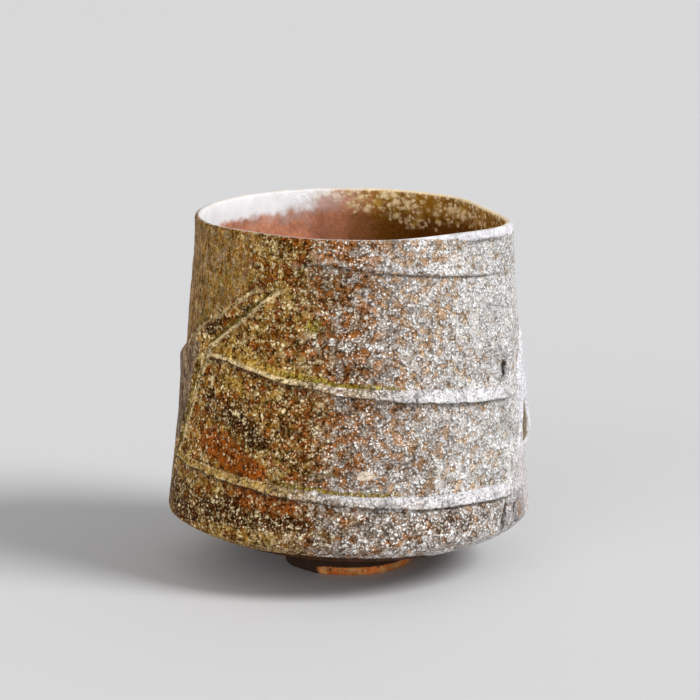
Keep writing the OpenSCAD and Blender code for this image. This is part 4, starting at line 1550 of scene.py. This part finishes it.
def lap_glaze(look):
    """Thin white ash over the seam's lap, stained in its crease and rusty on its lump, with painted shade in
    its groove and crevices.
    """
    material, n = start_material("lap_glaze")
    worn = n.mask("worn")
    cover = n.remap(worn, 0.0, 1.0, 0.62, 0.45)
    beads = n.group("Ash beads", Size=look.bead, Cover=cover, Run=0.12, Large=0.2)
    ground = n.tint(n.lay(look.slope, worn, 0.75, look.mauve), n.kept(n.zone("dull", 1.5, 0.9), 0.55))
    skin = n.lay(ground, beads["Bead"], 0.6, look.frost)
    skin = n.lay(skin, beads["Heart"], 0.4, look.tan)
    skin = n.tint(skin, n.kept(beads["Fleck"], 0.65))
    stain = n.mix(n.between(n.noise(*LAP_STAIN), 0.4, 0.6), look.olive, look.bark)
    stain = n.tint(stain, n.vary(n.noise(*LAP_STAIN_GRAIN), 0.4, 0.9))
    skin = n.lay(skin, n.zone("crease", 1.6, 0.8), 0.9, stain)
    skin = n.lay(skin, n.zone("rust", 0.8, 1.6), 0.6, look.bark)
    # Painted shade in the lap's groove and crevices
    skin = n.lay(skin, n.zone("soot", 0.8, 0.8), 0.85, look.soot)
    skin = n.tint(skin, n.vary(n.noise(*LAP_GRAIN), 0.8, 1.2))
    finish(n, skin, n.remap(beads["Bead"], 0.0, 0.8, *LAP_ROUGH), beads["Height"], LAP_BUMP, LAP_GLOSS)
    return material


def floor_glaze(look):
    """Ash pooled to a brown glaze on the inside floor."""
    material, n = start_material("floor_glaze")
    beads = n.group("Ash beads", Size=FLOOR_BEAD, Cover=0.3, Run=0.4, Large=0.5)
    pools = n.mix(n.between(n.noise(*FLOOR_POOLS), 0.4, 0.62), look.bark, look.amber)
    skin = n.lay(pools, beads["Bead"], 0.6, look.butter)
    finish(n, skin, n.remap(beads["Bead"], 0.0, 1.0, *FLOOR_ROUGH), beads["Height"], FLOOR_BUMP, FLOOR_GLOSS)
    return material


def bare_clay(look):
    """The foot's bare, sandy, flame-orange clay, with painted shadow under the body and over its left side.
    """
    material, n = start_material("bare_clay")
    grain = n.group("Clay grain", Size=CLAY_SAND)
    warm = n.mix(n.between(n.noise(*FLAMES), 0.42, 0.6), look.clay, look.sand)
    skin = n.tint(warm, n.remap(grain["Tone"], 0.38, 0.62, 0.5, 1.15))
    skin = n.lay(skin, n.mask("ash"), 0.12, look.straw)
    skin = n.lay(skin, grain["Grog"], 0.7, look.cream)
    skin = n.lay(skin, grain["Iron"], 0.8, look.soot)
    # Painted shadow under the body and on the foot's left side
    skin = n.lay(skin, n.zone("soot", 2.0, 1.0), 0.97, look.soot)
    finish(n, skin, CLAY_ROUGH, grain["Height"], CLAY_BUMP, CLAY_GLOSS)
    return material


# Operators


class CUP_OT_wall(bpy.types.Operator):
    """Build the paddled wall with its ridges, fold and lip"""

    bl_idname = "cup.wall"
    bl_label = "Wall"

    def execute(self, context):
        look = context.scene.cup_glaze
        build_wall(context.scene.cup_sizes, ash_glaze(look), inner_glaze(look))
        return {"FINISHED"}


class CUP_OT_seam_lap(bpy.types.Operator):
    """Build the lap of clay over the side seam"""

    bl_idname = "cup.seam_lap"
    bl_label = "Seam lap"

    def execute(self, context):
        build_lap(context.scene.cup_sizes, lap_glaze(context.scene.cup_glaze))
        return {"FINISHED"}


class CUP_OT_floor(bpy.types.Operator):
    """Build the inside floor with its throwing spiral"""

    bl_idname = "cup.floor"
    bl_label = "Inside floor"

    def execute(self, context):
        build_floor(context.scene.cup_sizes, floor_glaze(context.scene.cup_glaze))
        return {"FINISHED"}


class CUP_OT_foot_ring(bpy.types.Operator):
    """Build the bare foot ring"""

    bl_idname = "cup.foot_ring"
    bl_label = "Foot ring"

    def execute(self, context):
        build_foot(context.scene.cup_sizes, bare_clay(context.scene.cup_glaze))
        return {"FINISHED"}


def add_light(name, way, softness, strength):
    """A soft, even light that comes from a direction. softness is its width in degrees."""
    data = bpy.data.lights.new(name, "SUN")
    data.angle = math.radians(softness)
    data.energy = strength
    light = bpy.data.objects.new(name, data)
    light.rotation_euler = Vector(way).to_track_quat("Z", "Y").to_euler()
    bpy.context.scene.collection.objects.link(light)


class CUP_OT_stage(bpy.types.Operator):
    """Set the pale floor, the soft lamps and the photograph's camera"""

    bl_idname = "cup.stage"
    bl_label = "Stage"

    def execute(self, context):
        scene = context.scene
        look = scene.cup_stage
        mesh = bpy.data.meshes.new("studio_floor")
        h = FLOOR_HALF
        mesh.from_pydata([(-h, -h, 0), (h, -h, 0), (h, h, 0), (-h, h, 0)], [], [(0, 1, 2, 3)])
        floor = bpy.data.objects.new("studio_floor", mesh)
        scene.collection.objects.link(floor)
        material, n = start_material("studio_paper")
        shader = material.node_tree.nodes["Principled BSDF"]
        low = tuple(PAPER_DIP * c for c in look.floor)
        n.feed(shader.inputs["Base Color"], n.mix(n.noise(*PAPER_TOOTH), low, look.floor))
        n.feed(shader.inputs["Roughness"], PAPER_ROUGH)
        mesh.materials.append(material)
        world = bpy.data.worlds.new("studio")
        world.use_nodes = True
        sky = world.node_tree.nodes["Background"]
        sky.inputs["Color"].default_value = (1, 1, 1, 1)
        sky.inputs["Strength"].default_value = look.sky
        scene.world = world
        add_light("key", KEY_WAY, KEY_SOFTNESS, look.key)
        add_light("fill", FILL_WAY, FILL_SOFTNESS, look.fill)
        data = bpy.data.cameras.new("photo_camera")
        data.lens = CAMERA_LENS
        data.sensor_width = SENSOR
        data.clip_start = CLIP_NEAR
        data.clip_end = CLIP_FAR
        camera = bpy.data.objects.new("photo_camera", data)
        camera.location = (0, -CAMERA_DISTANCE, CAMERA_HEIGHT)
        camera.rotation_euler = (math.radians(90 - CAMERA_PITCH), 0, 0)
        scene.collection.objects.link(camera)
        scene.camera = camera
        scene.view_settings.view_transform = "Standard"
        return {"FINISHED"}


class CUP_PT_panel(bpy.types.Panel):
    """Sizes, colours and pieces of the tea cup"""

    bl_label = "Tea Cup"
    bl_idname = "CUP_PT_panel"
    bl_space_type = "VIEW_3D"
    bl_region_type = "UI"
    bl_category = "Tea Cup"

    def draw(self, context):
        layout = self.layout
        for group in (context.scene.cup_sizes, context.scene.cup_glaze, context.scene.cup_stage):
            box = layout.box()
            for name in group.__annotations__:
                box.prop(group, name)
        for operator in OPERATORS:
            layout.operator(operator.bl_idname)


OPERATORS = (CUP_OT_stage, CUP_OT_wall, CUP_OT_seam_lap, CUP_OT_floor, CUP_OT_foot_ring)
SETTINGS = {"cup_sizes": CupSizes, "cup_glaze": GlazeLook, "cup_stage": StageLook}
CLASSES = (*SETTINGS.values(), *OPERATORS, CUP_PT_panel)


def register():
    for cls in CLASSES:
        bpy.utils.register_class(cls)
    for name, cls in SETTINGS.items():
        setattr(bpy.types.Scene, name, bpy.props.PointerProperty(type=cls))


def unregister():
    for name in SETTINGS:
        delattr(bpy.types.Scene, name)
    for cls in reversed(CLASSES):
        bpy.utils.unregister_class(cls)


def main():
    register()
    bpy.ops.cup.stage()
    bpy.ops.cup.wall()
    bpy.ops.cup.seam_lap()
    bpy.ops.cup.floor()
    bpy.ops.cup.foot_ring()
    bpy.context.view_layer.update()


if __name__ == "__main__":
    main()
